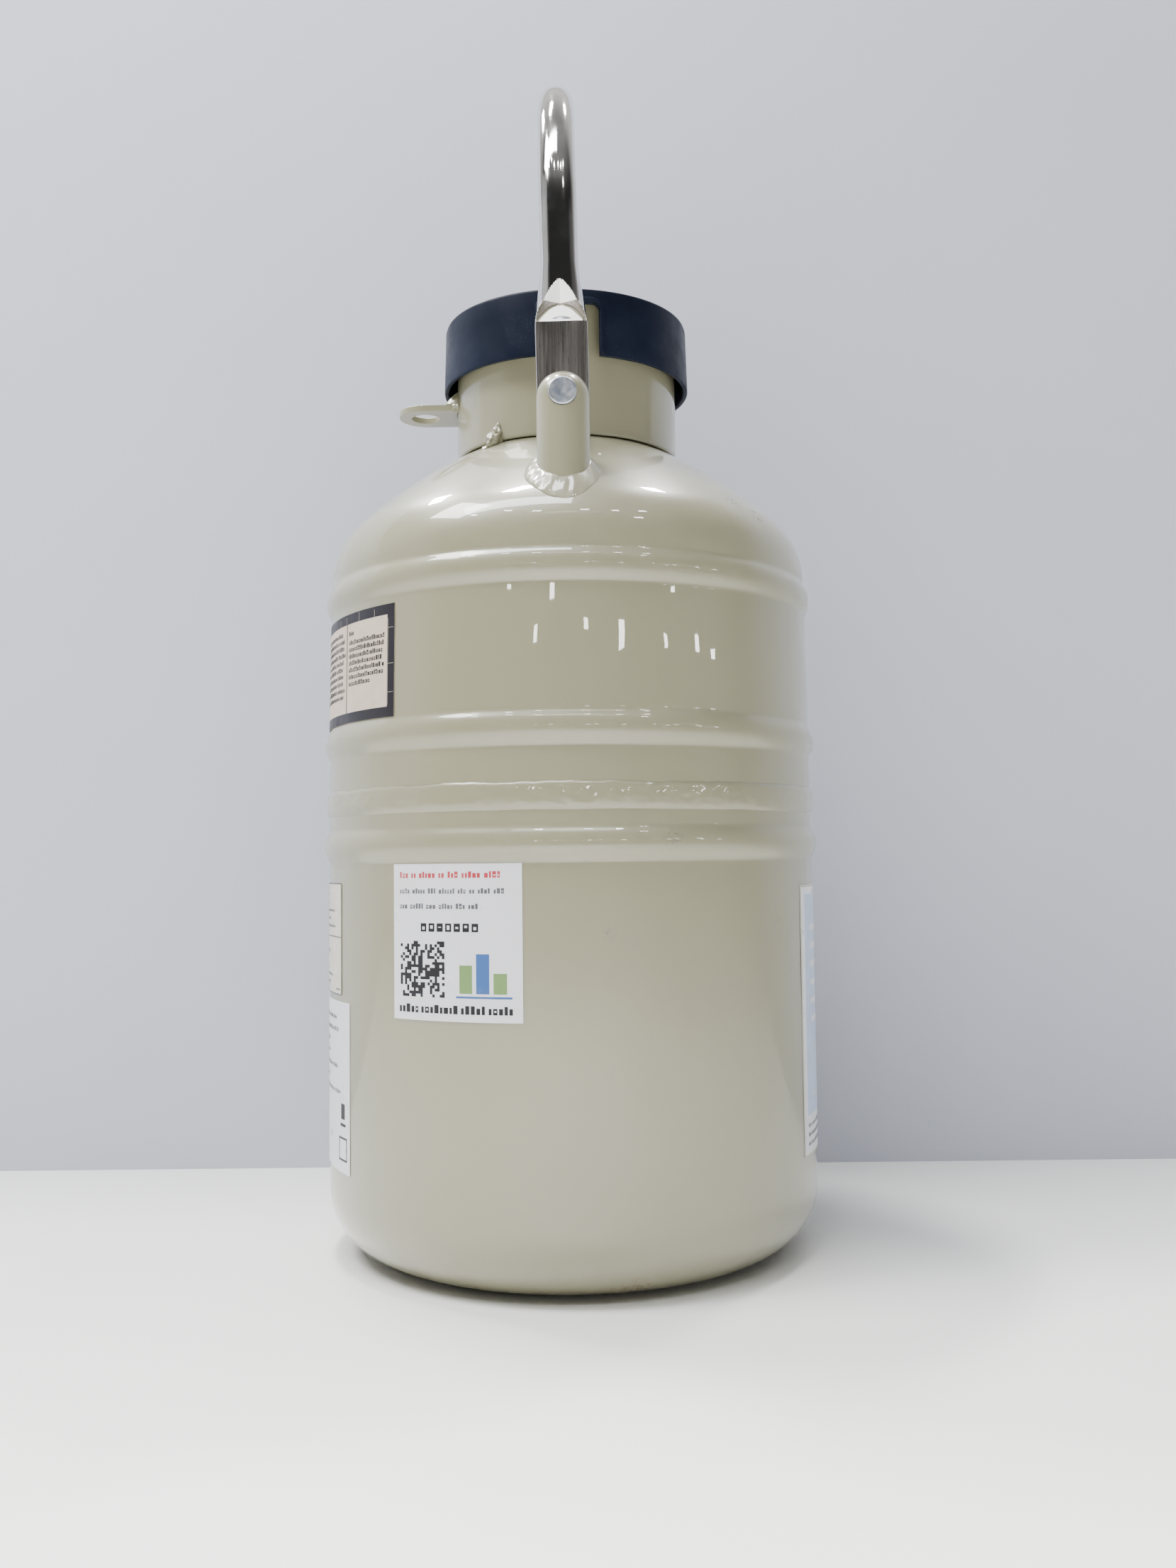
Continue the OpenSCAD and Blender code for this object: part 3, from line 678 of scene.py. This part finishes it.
def lug_bead(side):
    """The weld round a lug's foot, between the round bar and the dome; rippled on one side, smooth on the other."""
    V, F, rows = [], [], []
    nA, nT = 220, 12
    for i in range(nA):
        p = 2 * math.pi * i / nA          # 0 points away from the neck
        s, c = math.sin(p), math.cos(p)

        def world(rho):
            return rho * s, -(LUG_Y + rho * c)
        left = 0.5 - 0.5 * s              # 1 at -X
        rip = (0.5 + 0.5 * math.sin(p * 13 + 2.4 * n3(s * 2.1, c * 2.1, 0.2, 12 + side))) * (0.15 + 0.85 * left) * (0.6 + 0.8 * n3(s * 2.7, c * 2.7, 0.8, 14))
        w = 4.3 + 0.55 * rip * max(0.3, c) + 0.6 * n3(s * 1.3, c * 1.3, 0.5, 3 + side) + 0.7 * max(c, 0) + 0.5 * left
        front = max(c, 0)
        h = (4.9 - 1.2 * front + 0.8 * n3(s * 1.7, c * 1.7, 0.5, 6 + side)) * (1 + 0.10 * rip)
        if c < 0:
            h = lerp(h, 2.6, min(1, -c * 1.4))
            w = lerp(w, 3.6, min(1, -c * 1.4))
        x, y = world(LUG_R)
        zc = skin_z(math.hypot(x, y))
        bulge = 0.46 + (0.34 * left + 0.12) * (0.35 + 0.65 * max(c, 0.0)) + 0.10 * rip
        row = []
        x0, y0 = world(LUG_R - 1.2)
        row.append((x0, y0, zc - 1.5))
        for j in range(nT + 1):
            t = j / nT
            rho = (1 - t) ** 2 * (LUG_R - 0.15) + 2 * t * (1 - t) * (LUG_R + w * bulge) + t * t * (LUG_R + w)
            xb, yb = world(LUG_R + w)
            zb = skin_z(math.hypot(xb, yb)) - 0.12
            z = (1 - t) ** 2 * (zc + h) + 2 * t * (1 - t) * (zc + (zb - zc) * bulge + h * bulge * 0.95) + t * t * zb
            ph = math.sin(p * 17 + t * 3.4 + 3.0 * n3(s * 1.6, c * 1.6, 0.9, 15)) + 0.5 * n3(s * 9, c * 9, t * 2.0, 16)
            rho += 0.16 * ph * (0.2 + 0.8 * left) * math.sin(math.pi * t)
            z += 0.15 * ph * (0.2 + 0.8 * left) * math.sin(math.pi * t)
            xx, yy = world(rho)
            row.append((xx, yy, z))
        xb, yb = world(LUG_R + w - 0.8)
        row.append((xb, yb, skin_z(math.hypot(xb, yb)) - 1.3))
        ids = []
        for q in row:
            ids.append(len(V))
            V.append(q if side == 0 else (q[0], -q[1], q[2]))
        rows.append(ids)
    m = len(rows[0])
    for i in range(nA):
        k = (i + 1) % nA
        for j in range(m):
            jj = (j + 1) % m
            F.append((rows[i][j], rows[k][j], rows[k][jj], rows[i][jj]))
    return V, F


V, F = join([lug_bead(0), lug_bead(1)])
fix_normals(make("lug_weld_beads", V, F, M_PAINT_S, "vessel", "lug_welds"))


# ------------------------------------------------------------------ CAD nodes kept: material and softened edges
def keep(node, mat, bevel=None, seg=3, angle=30):
    o = NODES[node]
    o.data.materials.clear()
    o.data.materials.append(mat)
    if bevel:
        w = o.modifiers.new("weld", "WELD")
        w.merge_threshold = 2e-6
        b = o.modifiers.new("edge", "BEVEL")
        b.width = bevel * MM
        b.segments = seg
        b.limit_method = "ANGLE"
        b.angle_limit = math.radians(angle)
        b.harden_normals = False
        n = o.modifiers.new("wn", "WEIGHTED_NORMAL")
        n.keep_sharp = False
        n.weight = 60
    return o


keep("lug_front", M_PAINT_S, 0.7)
keep("lug_rear", M_PAINT_S, 0.7)
keep("locking_eye_tab", M_PAINT_S, 0.45)
keep("lid_cap", M_LID, 0.55, 3, 38)
keep("vacuum_port_cap", M_LID, 0.6)
keep("vacuum_port_tube", M_ALU, 0.25)
keep("vacuum_plug", M_ALU, 0.2)
keep("vacuum_plug_oring", M_RUB)
keep("rivet_washers", M_ZINC, 0.15, 2)
keep("neck_mouth_ring", M_ALU)
keep("neck_foot_ring", M_ALU)
keep("neck_tube", M_GRP)
keep("neck_sleeve", M_ALU, 0.2)
keep("neck_plug", M_FOAM, 0.5)
keep("plug_end_disc", M_BLACK, 0.3)
keep("plug_bolt", M_NYL, 0.3)
keep("girth_backing_ring", M_ALU)
keep("inner_vessel_upper", M_ALU)
keep("inner_vessel_lower", M_ALU)
keep("inner_girth_weld", M_ALU)
keep("superinsulation_blanket", M_FOIL)
keep("getter_cup", M_ALU)
keep("getter_pellets", M_PEL)

# ------------------------------------------------------------------ rivets
def turned_y(prof, seg=64):
    """Closed section [(distance from centre line along -Y, radius)] turned about the pivot axis."""
    V, F = lathe([(r, y) for y, r in prof], seg)
    return [(x, -z, PIVOT_Z + y) for x, y, z in V], F


rv = [(73.4, 0), (73.4, 4.6), (73.55, 5.2), (73.9, 5.55), (74.5, 5.6), (75.3, 5.5), (75.58, 5.2), (75.6, 4.0), (76.5, 4.0), (80, 4.0), (90, 4.0),
      (97.38, 4.0), (97.4, 5.5), (97.45, 5.8), (98.9, 5.8), (99.25, 5.66), (99.45, 5.3), (99.5, 4.9), (99.42, 4.2), (99.36, 3.0), (99.33, 1.3), (99.27, 0.9), (99.2, 0.4), (99.18, 0.0)]
A = turned_y(rv)
B = ([(x, -y, z) for x, y, z in A[0]], A[1])
V, F = join([A, B])
fix_normals(make("rivet_pair", V, F, M_ZINC, "vessel", "pivot_rivets"))


# ------------------------------------------------------------------ bail
K = 112
TH = [2 * math.pi * i / K for i in range(K)]


def ring_shape(z):
    """Section of a leg at height z: list of (x, o), o pointing away from the neck, 0 at the tube's axis."""
    out = []
    s = 1 - sstep(397.0, 421.0, z)                 # 1 = pressed flat
    hw = TUBE_R + (11.0 - TUBE_R) * (1 - sstep(395.0, 421.5, z)) ** 1.25
    mid = -5.95 * (1 - sstep(396.5, 418.0, z)) ** 1.3
    flat = z <= 397.45
    for th in TH:
        u, cth = math.sin(th), math.cos(th)
        e = abs(u)
        if flat:
            # a thin plate with rolled edges: the radius of the edge is 2 mm
            p = 6.0
            f = (1 - e ** p) ** (1 / p) if e < 1 else 0.0
            o = -5.95 + (2.0 if cth >= 0 else -2.0) * f
            bow = 0.10 * (1 - u * u)
            if cth >= 0:
                o -= bow
        else:
            if cth >= 0:
                T = mid + (TUBE_R * 0.995 - mid) * math.sqrt(max(1 - e * e, 0))
                x = abs(hw * u)
                if z < 402.5:
                    crest = lerp(-3.95, 0.5, (z - 397.5) / 5.0)
                    fan = 9.6 * math.sqrt(max((402.5 - z) / 5.0, 0))
                else:
                    crest = 0.5 + (z - 402.5) * 7.45 / 8.0
                    fan = 0.0
                d = x - fan
                o = min(T, crest + 0.62 * 0.5 * (d + math.sqrt(d * d + 0.06)))
            else:
                p = lerp(2.0, 6.0, s)
                f = (1 - e ** p) ** (1 / p) if e < 1 else 0.0
                o = mid + (-TUBE_R - mid) * f
        out.append((hw * u, o))
    return out


def bail_rings():
    rings = []
    # lower end, rounded
    zs = [PIVOT_Z - 11.0 * math.cos(t) for t in np.linspace(0.06, math.pi / 2, 14)]
    for z in zs:
        w = math.sqrt(max(11.0 ** 2 - (z - PIVOT_Z) ** 2, 0)) / 11.0
        sh = ring_shape(380.0)
        thick = min(1.0, 0.35 + 0.65 * min(1, (z - (PIVOT_Z - 11.0)) / 1.2))
        rings.append((z, [(x * w, -5.95 + (o + 5.95) * thick) for x, o in sh]))
    for z in np.linspace(364, 396.0, 12):
        rings.append((z, ring_shape(z)))
    for z in np.arange(396.6, 421.6, 0.36):
        rings.append((z, ring_shape(z)))
    for z in np.linspace(423.5, ARCH_Z - 1, 5):
        rings.append((z, ring_shape(z)))
    return rings


def bail_mesh():
    V, F, rows, tag = [], [], [], []
    leg = bail_rings()
    for z, sh in leg:                      # front leg
        rows.append([(x, -(LEG_Y + o), z) for x, o in sh])
        tag.append(z)
    n = 110
    circ = [(TUBE_R * math.sin(t), TUBE_R * math.cos(t)) for t in TH]
    for i in range(n + 1):
        b = math.pi * i / n
        rows.append([(x, -(LEG_Y + o) * math.cos(b), ARCH_Z + (LEG_Y + o) * math.sin(b)) for x, o in circ])
        tag.append(999)
    for z, sh in reversed(leg):            # rear leg, mirrored
        rows.append([(x, (LEG_Y + o), z) for x, o in sh])
        tag.append(z)
    ids = []
    for row in rows:
        ids.append(list(range(len(V), len(V) + K)))
        V += row
    idx = []
    for a in range(len(rows) - 1):
        for j in range(K):
            jj = (j + 1) % K
            F.append((ids[a][j], ids[a][jj], ids[a + 1][jj], ids[a + 1][j]))
            zz = (tag[a] + tag[a + 1]) / 2
            u = abs(math.sin((TH[j] + math.pi / K)))
            idx.append(1 if zz < 397.5 and u < 0.955 else 0)
    for end, rev in ((ids[0], True), (ids[-1], False)):
        c = len(V)
        V.append(tuple(np.mean([V[i] for i in end], axis=0)))
        for j in range(K):
            jj = (j + 1) % K
            F.append((end[jj], end[j], c) if rev else (end[j], end[jj], c))
            idx.append(0)
    c, s = math.cos(-LEAN), math.sin(-LEAN)
    W = [(x * c + (z - PIVOT_Z) * s, y, PIVOT_Z + (z - PIVOT_Z) * c - x * s) for x, y, z in V]
    return W, F, idx


V, F, IDX = bail_mesh()
ob = make("bail_polished", V, F, [M_TUBE, M_BRUSH], "bail", "handle", idx=IDX)
import bmesh
bm = bmesh.new(); bm.from_mesh(ob.data); bmesh.ops.recalc_face_normals(bm, faces=bm.faces); bm.to_mesh(ob.data); bm.free()
sharp(ob, 24)


# ------------------------------------------------------------------ moulded lip round each notch of the lid
TURN = math.radians(2.9)


def lid_radius(z):
    return 57.4 - 0.8 * (z - 392) / 28.0


def notch_lip(side):
    hw, zt, rc = 25.5 / 2 + 0.2, 415.4 + 0.2, 3.2
    path = [(-hw, z) for z in np.linspace(392.4, zt - rc, 14)]
    path += [(-hw + rc - rc * math.cos(t), zt - rc + rc * math.sin(t)) for t in np.linspace(0.15, math.pi / 2, 8)]
    path += [(x, zt) for x in np.linspace(-hw + rc + 1, hw - rc - 1, 20)]
    path += [(hw - rc + rc * math.sin(t), zt - rc + rc * math.cos(t)) for t in np.linspace(0, math.pi / 2 - 0.15, 8)]
    path += [(hw, z) for z in np.linspace(zt - rc, 392.4, 14)]
    V, F, rows = [], [], []
    w, h = 2.6, 0.75
    for i, (x, z) in enumerate(path):
        a, b = path[max(i - 1, 0)], path[min(i + 1, len(path) - 1)]
        t = Vector((b[0] - a[0], b[1] - a[1])).normalized()
        nx, nz = t.y, -t.x               # towards the opening on this winding
        row = []
        for q, lift in ((0.0, -0.5), (0.0, 0.35), (-0.35, h), (-1.3, h * 0.95), (-2.1, h * 0.55), (-w, 0.02), (-w, -0.5)):
            px, pz = x + nx * q, z + nz * q
            R = lid_radius(pz) + lift
            ang = px / lid_radius(pz)
            ang = math.asin(max(-1, min(1, ang)))
            qx, qy = R * math.sin(ang), -R * math.cos(ang) * (1 if side == 0 else -1)
            row.append((qx * math.cos(TURN) - qy * math.sin(TURN), qx * math.sin(TURN) + qy * math.cos(TURN), pz))
        ids = list(range(len(V), len(V) + len(row)))
        V += row
        rows.append(ids)
    m = len(rows[0])
    for i in range(len(rows) - 1):
        for j in range(m):
            jj = (j + 1) % m
            F.append((rows[i][j], rows[i + 1][j], rows[i + 1][jj], rows[i][jj]))
    F.append(tuple(rows[0])); F.append(tuple(reversed(rows[-1])))
    return V, F


V, F = join([notch_lip(0), notch_lip(1)])
ob = fix_normals(make("lid_notch_lips", V, F, M_LID, "lid"))


# ------------------------------------------------------------------ labels
class Label:
    """A thin sheet on the wall with printed patches, all in one mesh. u, v are mm along and up from its lower left corner."""

    def __init__(self, name, node, a0, a1, z0, z1, radius, base, lift=0.04):
        self.name, self.node = name, node
        self.a0, self.a1, self.z0, self.z1, self.radius = a0, a1, z0, z1, radius
        self.rm = radius((z0 + z1) / 2)
        self.w = math.radians(a1 - a0) * self.rm
        self.h = z1 - z0
        self.V, self.F, self.I, self.mats = [], [], [], []
        self.rect(0, 0, self.w, self.h, base, 0.0, 0.17)

    def rect(self, u0, v0, u1, v1, mat, lo=0.15, hi=0.21):
        if mat not in self.mats:
            self.mats.append(mat)
        k = self.mats.index(mat)
        n = max(1, int(abs(u1 - u0) / 2.0))
        m = max(1, int(abs(v1 - v0) / 12.0))
        o = len(self.V)
        for lay in (lo, hi):
            for j in range(m + 1):
                z = self.z0 + v0 + (v1 - v0) * j / m
                for i in range(n + 1):
                    a = math.radians(self.a0) + (u0 + (u1 - u0) * i / n) / self.rm
                    r = self.radius(z) + 0.16 + lay
                    self.V.append((r * math.sin(a), -r * math.cos(a), z))
        L = (n + 1) * (m + 1)

        def id_(l, j, i):
            return o + l * L + j * (n + 1) + i
        f = []
        for j in range(m):
            for i in range(n):
                f.append((id_(1, j, i), id_(1, j, i + 1), id_(1, j + 1, i + 1), id_(1, j + 1, i)))
                f.append((id_(0, j, i), id_(0, j + 1, i), id_(0, j + 1, i + 1), id_(0, j, i + 1)))
        for i in range(n):
            f.append((id_(0, 0, i), id_(0, 0, i + 1), id_(1, 0, i + 1), id_(1, 0, i)))
            f.append((id_(0, m, i + 1), id_(0, m, i), id_(1, m, i), id_(1, m, i + 1)))
        for j in range(m):
            f.append((id_(0, j + 1, 0), id_(0, j, 0), id_(1, j, 0), id_(1, j + 1, 0)))
            f.append((id_(0, j, n), id_(0, j + 1, n), id_(1, j + 1, n), id_(1, j, n)))
        self.F += f
        self.I += [k] * len(f)

    def frame(self, u0, v0, u1, v1, t, mat):
        self.rect(u0, v1 - t, u1, v1, mat)
        self.rect(u0, v0, u1, v0 + t, mat)
        self.rect(u0, v0 + t, u0 + t, v1 - t, mat)
        self.rect(u1 - t, v0 + t, u1, v1 - t, mat)

    def line(self, u0, v, u1, t, mat, rng, word=(2.0, 6.0), gap=1.0):
        """A row of short bars that stands for a line of print."""
        u = u0
        while u < u1 - 1.0:
            end = min(u + rng.uniform(*word), u1)
            while u < end - 0.3 * t:
                w = t * rng.uniform(0.32, 0.62)
                lo, hi = (0.0, 0.74) if rng.random() < 0.6 else (0.0, 1.0)
                self.rect(u, v + lo * t, u + w, v + hi * t, mat)
                if rng.random() < 0.35 and w > 0.4 * t:
                    self.rect(u + 0.3 * w, v + 0.30 * t, u + 0.75 * w, v + 0.52 * t, self.mats[0], 0.19, 0.225)
                u += w + 0.2 * t
            u += gap

    def done(self):
        ob = make(self.name, self.V, self.F, self.mats, "vessel", self.node, idx=self.I, smooth=False)
        return ob


rng = random.Random(7)
lw = lambda z: LOW_R
# white square label on the front
L = Label("label_white_square", "asset_sticker", -39.4, -9.0, 110.2, 172.0, lw, M_WHITE)
L.line(3.6, 56.2, 50.0, 2.5, M_RED, rng, (2.6, 8.5), 1.3)
L.line(3.6, 50.0, 51.5, 2.1, M_GREY, rng, (2.5, 8.0), 1.2)
L.line(3.6, 44.0, 43.0, 2.1, M_GREY, rng, (1.8, 6.5), 1.2)
for k in range(7):
    L.rect(14.5 + 3.9 * k, 35.0, 17.3 + 3.9 * k, 38.3, M_INK)
    L.rect(15.3 + 3.9 * k, 35.8 + (k % 3) * 0.4, 16.5 + 3.9 * k, 37.0 + (k % 2) * 0.5, M_WHITE, 0.19, 0.225)
# a block of random squares, which encodes nothing
q0u, q0v, cell, n = 3.8, 9.2, 1.16, 19
for i in range(n):
    for j in range(n):
        if rng.random() < 0.5:
            L.rect(q0u + i * cell, q0v + j * cell, q0u + (i + 1) * cell, q0v + (j + 1) * cell, M_INK)
# a plain three-bar mark
for k, (c_, hh) in enumerate(((M_GREEN, 11.0), (M_BLUE, 15.5), (M_GREEN, 8.0))):
    L.rect(32.5 + k * 7.2, 11.0, 38.0 + k * 7.2, 11.0 + hh, c_)
L.rect(31.0, 9.2, 54.5, 10.0, M_BLUE)
L.line(3.2, 3.0, 54.5, 3.3, M_INK, rng, (9.0, 18.0), 0.9)
L.done()

# dark-framed label between the ribs
L = Label("label_dark_frame", "framed_label", -96.0, -39.5, 232.2, 279.0, up_r, M_TAN)
W_, H_ = L.w, L.h
L.frame(0, 0, W_, H_, 4.3, M_INK)
mid = W_ - 37.5
L.rect(mid, 4.3, mid + 0.7, H_ - 4.3, M_INK)
v = H_ - 13.5
for k in range(7):
    L.line(mid + 2.6, v, W_ - 6.5 - (0 if k < 6 else 9.0), 2.0, M_INK, rng, (26.0, 30.0), 0.6)
    v -= 2.95
L.line(mid + 2.6, H_ - 9.6, mid + 7.0, 1.9, M_INK, rng, (5.0, 6.0), 0.6)
v = H_ - 9.0
for k in range(10):
    L.line(6.0, v, mid - 1.2 - rng.uniform(0, 4), 1.9, M_INK, rng, (14.0, 20.0), 0.6)
    v -= 3.0
# creases: pale breaks in the dark frame
for k in range(4):
    u = W_ - 11 - k * 11.5 - rng.uniform(0, 4)
    L.rect(u, H_ - 4.3, u + 0.14, H_ - rng.uniform(0.2, 1.6), M_TAN, 0.16, 0.235)
for k in range(3):
    v = 9 + k * 12.5 + rng.uniform(0, 3)
    L.rect(W_ - 4.3, v, W_ - 0.6, v + 0.13, M_TAN, 0.16, 0.235)
L.rect(W_ - 4.0, 5.0, W_ - 3.88, H_ - 6.0, M_TAN, 0.16, 0.235)
L.done()

# clear label printed as two outlined boxes
L = Label("label_outlined_boxes", "side_box_label", -112.0, -61.9, 116.2, 164.0, lw, M_CLEAR)
L.frame(0, 0, L.w, L.h, 0.5, M_GREY)
L.rect(0.5, 24.4, L.w - 0.5, 24.9, M_GREY)
for v0 in (4.0, 28.5):
    for k in range(5):
        L.line(5.0, v0 + 3.4 * k, L.w - 9 - rng.uniform(0, 22), 1.2, M_GREY, rng, (1.6, 5.0), 0.8)
L.line(L.w - 7.5, 2.0, L.w - 1.8, 0.9, M_GREY, rng, (1.0, 2.0), 0.5)
L.done()

# white strip below it
L = Label("label_white_strip", "side_strip_label", -95.0, -56.9, 41.8, 113.6, lw, M_WHITE)
for k in range(7):
    L.line(6.0, 64.0 - 5.2 * k, L.w - 10 - rng.uniform(0, 26), 1.7, M_GREY, rng, (2.0, 7.0), 1.0)
L.frame(6.0, 6.0, 26.0, 22.0, 0.8, M_INK)
L.frame(L.w - 13.0, 5.0, L.w - 3.0, 15.0, 0.9, M_INK)
L.rect(L.w - 11.0, 19.5, L.w - 4.5, 20.7, M_INK)
L.rect(L.w - 10.0, 22.5, L.w - 5.5, 29.0, M_INK)
L.done()

# large label on the right: an outline, a pale blue panel and rows of print
L = Label("label_blue_panel", "right_label", 63.2, 137.0, 45.0, 161.0, lw, M_WHITE)
L.frame(0.3, 0.3, L.w - 0.3, L.h - 0.3, 0.45, M_OLIVE)
L.rect(5.4, 17.0, L.w - 5.4, L.h - 4.0, M_PALE)
for k in range(6):
    L.rect(14.0, 96.0 - 8.0 * k, L.w - 16 - rng.uniform(0, 45), 98.6 - 8.0 * k, M_WHITE, 0.2, 0.24)
L.frame(14.0, 24.0, 54.0, 46.0, 1.1, M_WHITE)
L.frame(62.0, 24.0, L.w - 14.0, 46.0, 1.1, M_WHITE)
for k in range(3):
    L.line(6.0, 12.0 - 3.9 * k, L.w - 8 - rng.uniform(0, 30), 1.8, M_GREY, rng, (2.0, 8.0), 1.0)
L.done()

# ------------------------------------------------------------------ stage, light, camera
def stage_mat(name, color, rough, emit=0.0):
    m = Mat(name, color, rough=rough)
    n = m.noise(3.0, 3.0, 0.5)
    m.set_color(m.mix(m.ramp(n, 0.3, 0.75), color, tuple(v * 0.96 for v in color)))
    m.b.inputs["Emission Color"].default_value = (*color, 1)
    m.b.inputs["Emission Strength"].default_value = emit
    return m


floor_me = bpy.data.meshes.new("floor")
floor_me.from_pydata([(-6, -6, 0), (6, -6, 0), (6, 6, 0), (-6, 6, 0)], [], [(0, 1, 2, 3)])
floor_ob = bpy.data.objects.new("floor", floor_me)
bpy.context.scene.collection.objects.link(floor_ob)
floor_ob.data.materials.append(stage_mat("floor_pale", (0.86, 0.86, 0.84), 0.42).m)

# backdrop: seen from its front only, so it never hides the back of the object
WALL_Y = 0.150
wall_me = bpy.data.meshes.new("backdrop")
wall_me.from_pydata([(-6, WALL_Y, 0), (6, WALL_Y, 0), (6, WALL_Y, 0.71), (-6, WALL_Y, 0.71)], [], [(0, 1, 2, 3)])
wall_ob = bpy.data.objects.new("backdrop", wall_me)
bpy.context.scene.collection.objects.link(wall_ob)
wm = stage_mat("backdrop_pale", (0.575, 0.59, 0.675), 0.8, 0.0)
tr = wm.new("ShaderNodeBsdfTransparent")
geo = wm.new("ShaderNodeNewGeometry")
mx = wm.new("ShaderNodeMixShader")
outn = wm.nt.nodes["Material Output"]
wm.link(geo.outputs["Backfacing"], mx.inputs[0])
wm.link(wm.b.outputs[0], mx.inputs[1])
wm.link(tr.outputs[0], mx.inputs[2])
wm.link(mx.outputs[0], outn.inputs["Surface"])
wall_ob.data.materials.append(wm.m)


def area(name, loc, target, size, energy, color=(1, 1, 1), size_y=None, spread=180):
    d = bpy.data.lights.new(name, "AREA")
    d.shape = "RECTANGLE"
    d.size, d.size_y = size, size_y or size
    d.energy = energy
    d.color = color
    d.spread = math.radians(spread)
    o = bpy.data.objects.new(name, d)
    bpy.context.scene.collection.objects.link(o)
    o.location = loc
    o.rotation_mode = "QUATERNION"
    o.rotation_quaternion = (Vector(target) - Vector(loc)).to_track_quat("-Z", "Y")
    return o


area("key_left", (-0.95, -0.30, 1.65), (0.0, 0, 0.12), 0.50, 25, (1.0, 0.995, 0.975), 0.50)
area("top_a", (-0.27, 0.20, 1.65), (0.0, 0, 0.2), 0.28, 25, (1.0, 0.995, 0.975), 0.11)
area("top_b", (0.47, 0.42, 1.65), (0.0, 0, 0.2), 0.16, 15, (1.0, 0.995, 0.975), 0.09)
area("top_c", (-0.78, 0.56, 1.65), (0.0, 0, 0.25), 0.32, 26, (1.0, 0.995, 0.975), 0.12)
area("left_panel", (-1.6, -0.20, 0.8), (0, 0, 0.3), 0.9, 1.6, (0.97, 0.98, 1.0), 1.5)
area("wall_wash", (-0.50, -0.50, 1.8), (-0.45, WALL_Y, 1.02), 1.1, 32, (0.93, 0.955, 1.0), 0.4)
area("floor_front", (0.0, -0.75, 0.95), (0.0, -0.75, 0.0), 0.7, 5.5, (1.0, 1.0, 0.985), 0.35, 80)


def fitting(i, az, elev, dist, sx, sy, rad):
    """A far, small, bright ceiling light, placed by its direction from the object. It only shows as a crisp reflection."""
    a, e = math.radians(az), math.radians(elev)
    p = (dist * math.sin(a) * math.cos(e), -0.1 - dist * math.cos(a) * math.cos(e), 0.28 + dist * math.sin(e))
    area("fitting_%d" % i, p, (0, 0, 0.28), sx, math.pi * sx * sy * rad, (1.0, 1.0, 0.98), sy)


far = [(-26.6, 13.0), (-6.8, 13.0), (13.2, 13.3), (39.6, 13.2), (49.9, 12.6), (61.3, 13.0),
       (-14.3, 10.9), (9.0, 11.0), (24.9, 10.6), (45.7, 10.2), (61.9, 10.0), (71.0, 9.6)]
near = [(-39, 56), (-19, 55), (12, 56), (32, 54), (50, 53), (-58, 50), (42, 44)]
for i, (az_, el_) in enumerate(far):
    fitting(i, az_, el_, 8.0, 0.24 + 0.05 * (i % 3), 0.09 if i < 6 else 0.13, 50)
for i, (az_, el_) in enumerate(near):
    fitting(20 + i, az_, el_, 5.0, 0.26, 0.12, 70)

w = bpy.data.worlds.new("room")
bpy.context.scene.world = w
w.use_nodes = True
nt = w.node_tree
bg = nt.nodes["Background"]
tc = nt.nodes.new("ShaderNodeTexCoord")
sep = nt.nodes.new("ShaderNodeSeparateXYZ")
nt.links.new(tc.outputs["Generated"], sep.inputs[0])


def wramp(sock, a, b, va, vb):
    n = nt.nodes.new("ShaderNodeMapRange")
    n.interpolation_type = "SMOOTHSTEP"
    for k, v in (("From Min", a), ("From Max", b), ("To Min", va), ("To Max", vb)):
        n.inputs[k].default_value = v
    nt.links.new(sock, n.inputs["Value"])
    return n.outputs["Result"]


def wadd(a, b):
    n = nt.nodes.new("ShaderNodeMath")
    n.operation = "ADD"
    nt.links.new(a, n.inputs[0])
    nt.links.new(b, n.inputs[1])
    return n.outputs[0]


# dark room in front of the object, pale ceiling, pale walls to the sides and behind
lum = wadd(wadd(wramp(sep.outputs["Z"], 0.55, 0.98, 0.034, 0.34), wramp(sep.outputs["X"], -0.74, -0.97, 0.0, 0.40)),
           wadd(wramp(sep.outputs["X"], 0.80, 0.97, 0.0, 0.14), wramp(sep.outputs["Y"], 0.0, 0.6, 0.0, 0.75)))
nt.links.new(lum, bg.inputs["Strength"])
bg.inputs["Color"].default_value = (1.0, 0.985, 0.97, 1)

# camera: placed and aimed as the photograph was taken, in the row frame
F_PX, DIST, CAM_Z = 1956.4, 0.6477, 0.173
YAW, PITCH, ROLL, AROUND = map(math.radians, (0.730, 3.118, -0.641, 0.9))
cy, sy_, cp, sp_, cr_, sr_ = math.cos(YAW), math.sin(YAW), math.cos(PITCH), math.sin(PITCH), math.cos(ROLL), math.sin(ROLL)
fwd = Vector((sy_ * cp, cy * cp, sp_))
right = Vector((cy, -sy_, 0))
up = right.cross(fwd)
r2, u2 = right * cr_ + up * sr_, up * cr_ - right * sr_
R = Matrix((r2, u2, -fwd)).transposed()
A = Matrix.Rotation(AROUND, 3, "Z")
cam_d = bpy.data.cameras.new("camera")
cam_d.lens = F_PX / 2212 * 36
cam_d.sensor_width = 36
cam_d.clip_start, cam_d.clip_end = 0.01, 50
cam = bpy.data.objects.new("camera", cam_d)
bpy.context.scene.collection.objects.link(cam)
cam.matrix_world = Matrix.Translation(A @ Vector((0, -DIST, CAM_Z))) @ (A @ R).to_4x4()
bpy.context.scene.camera = cam
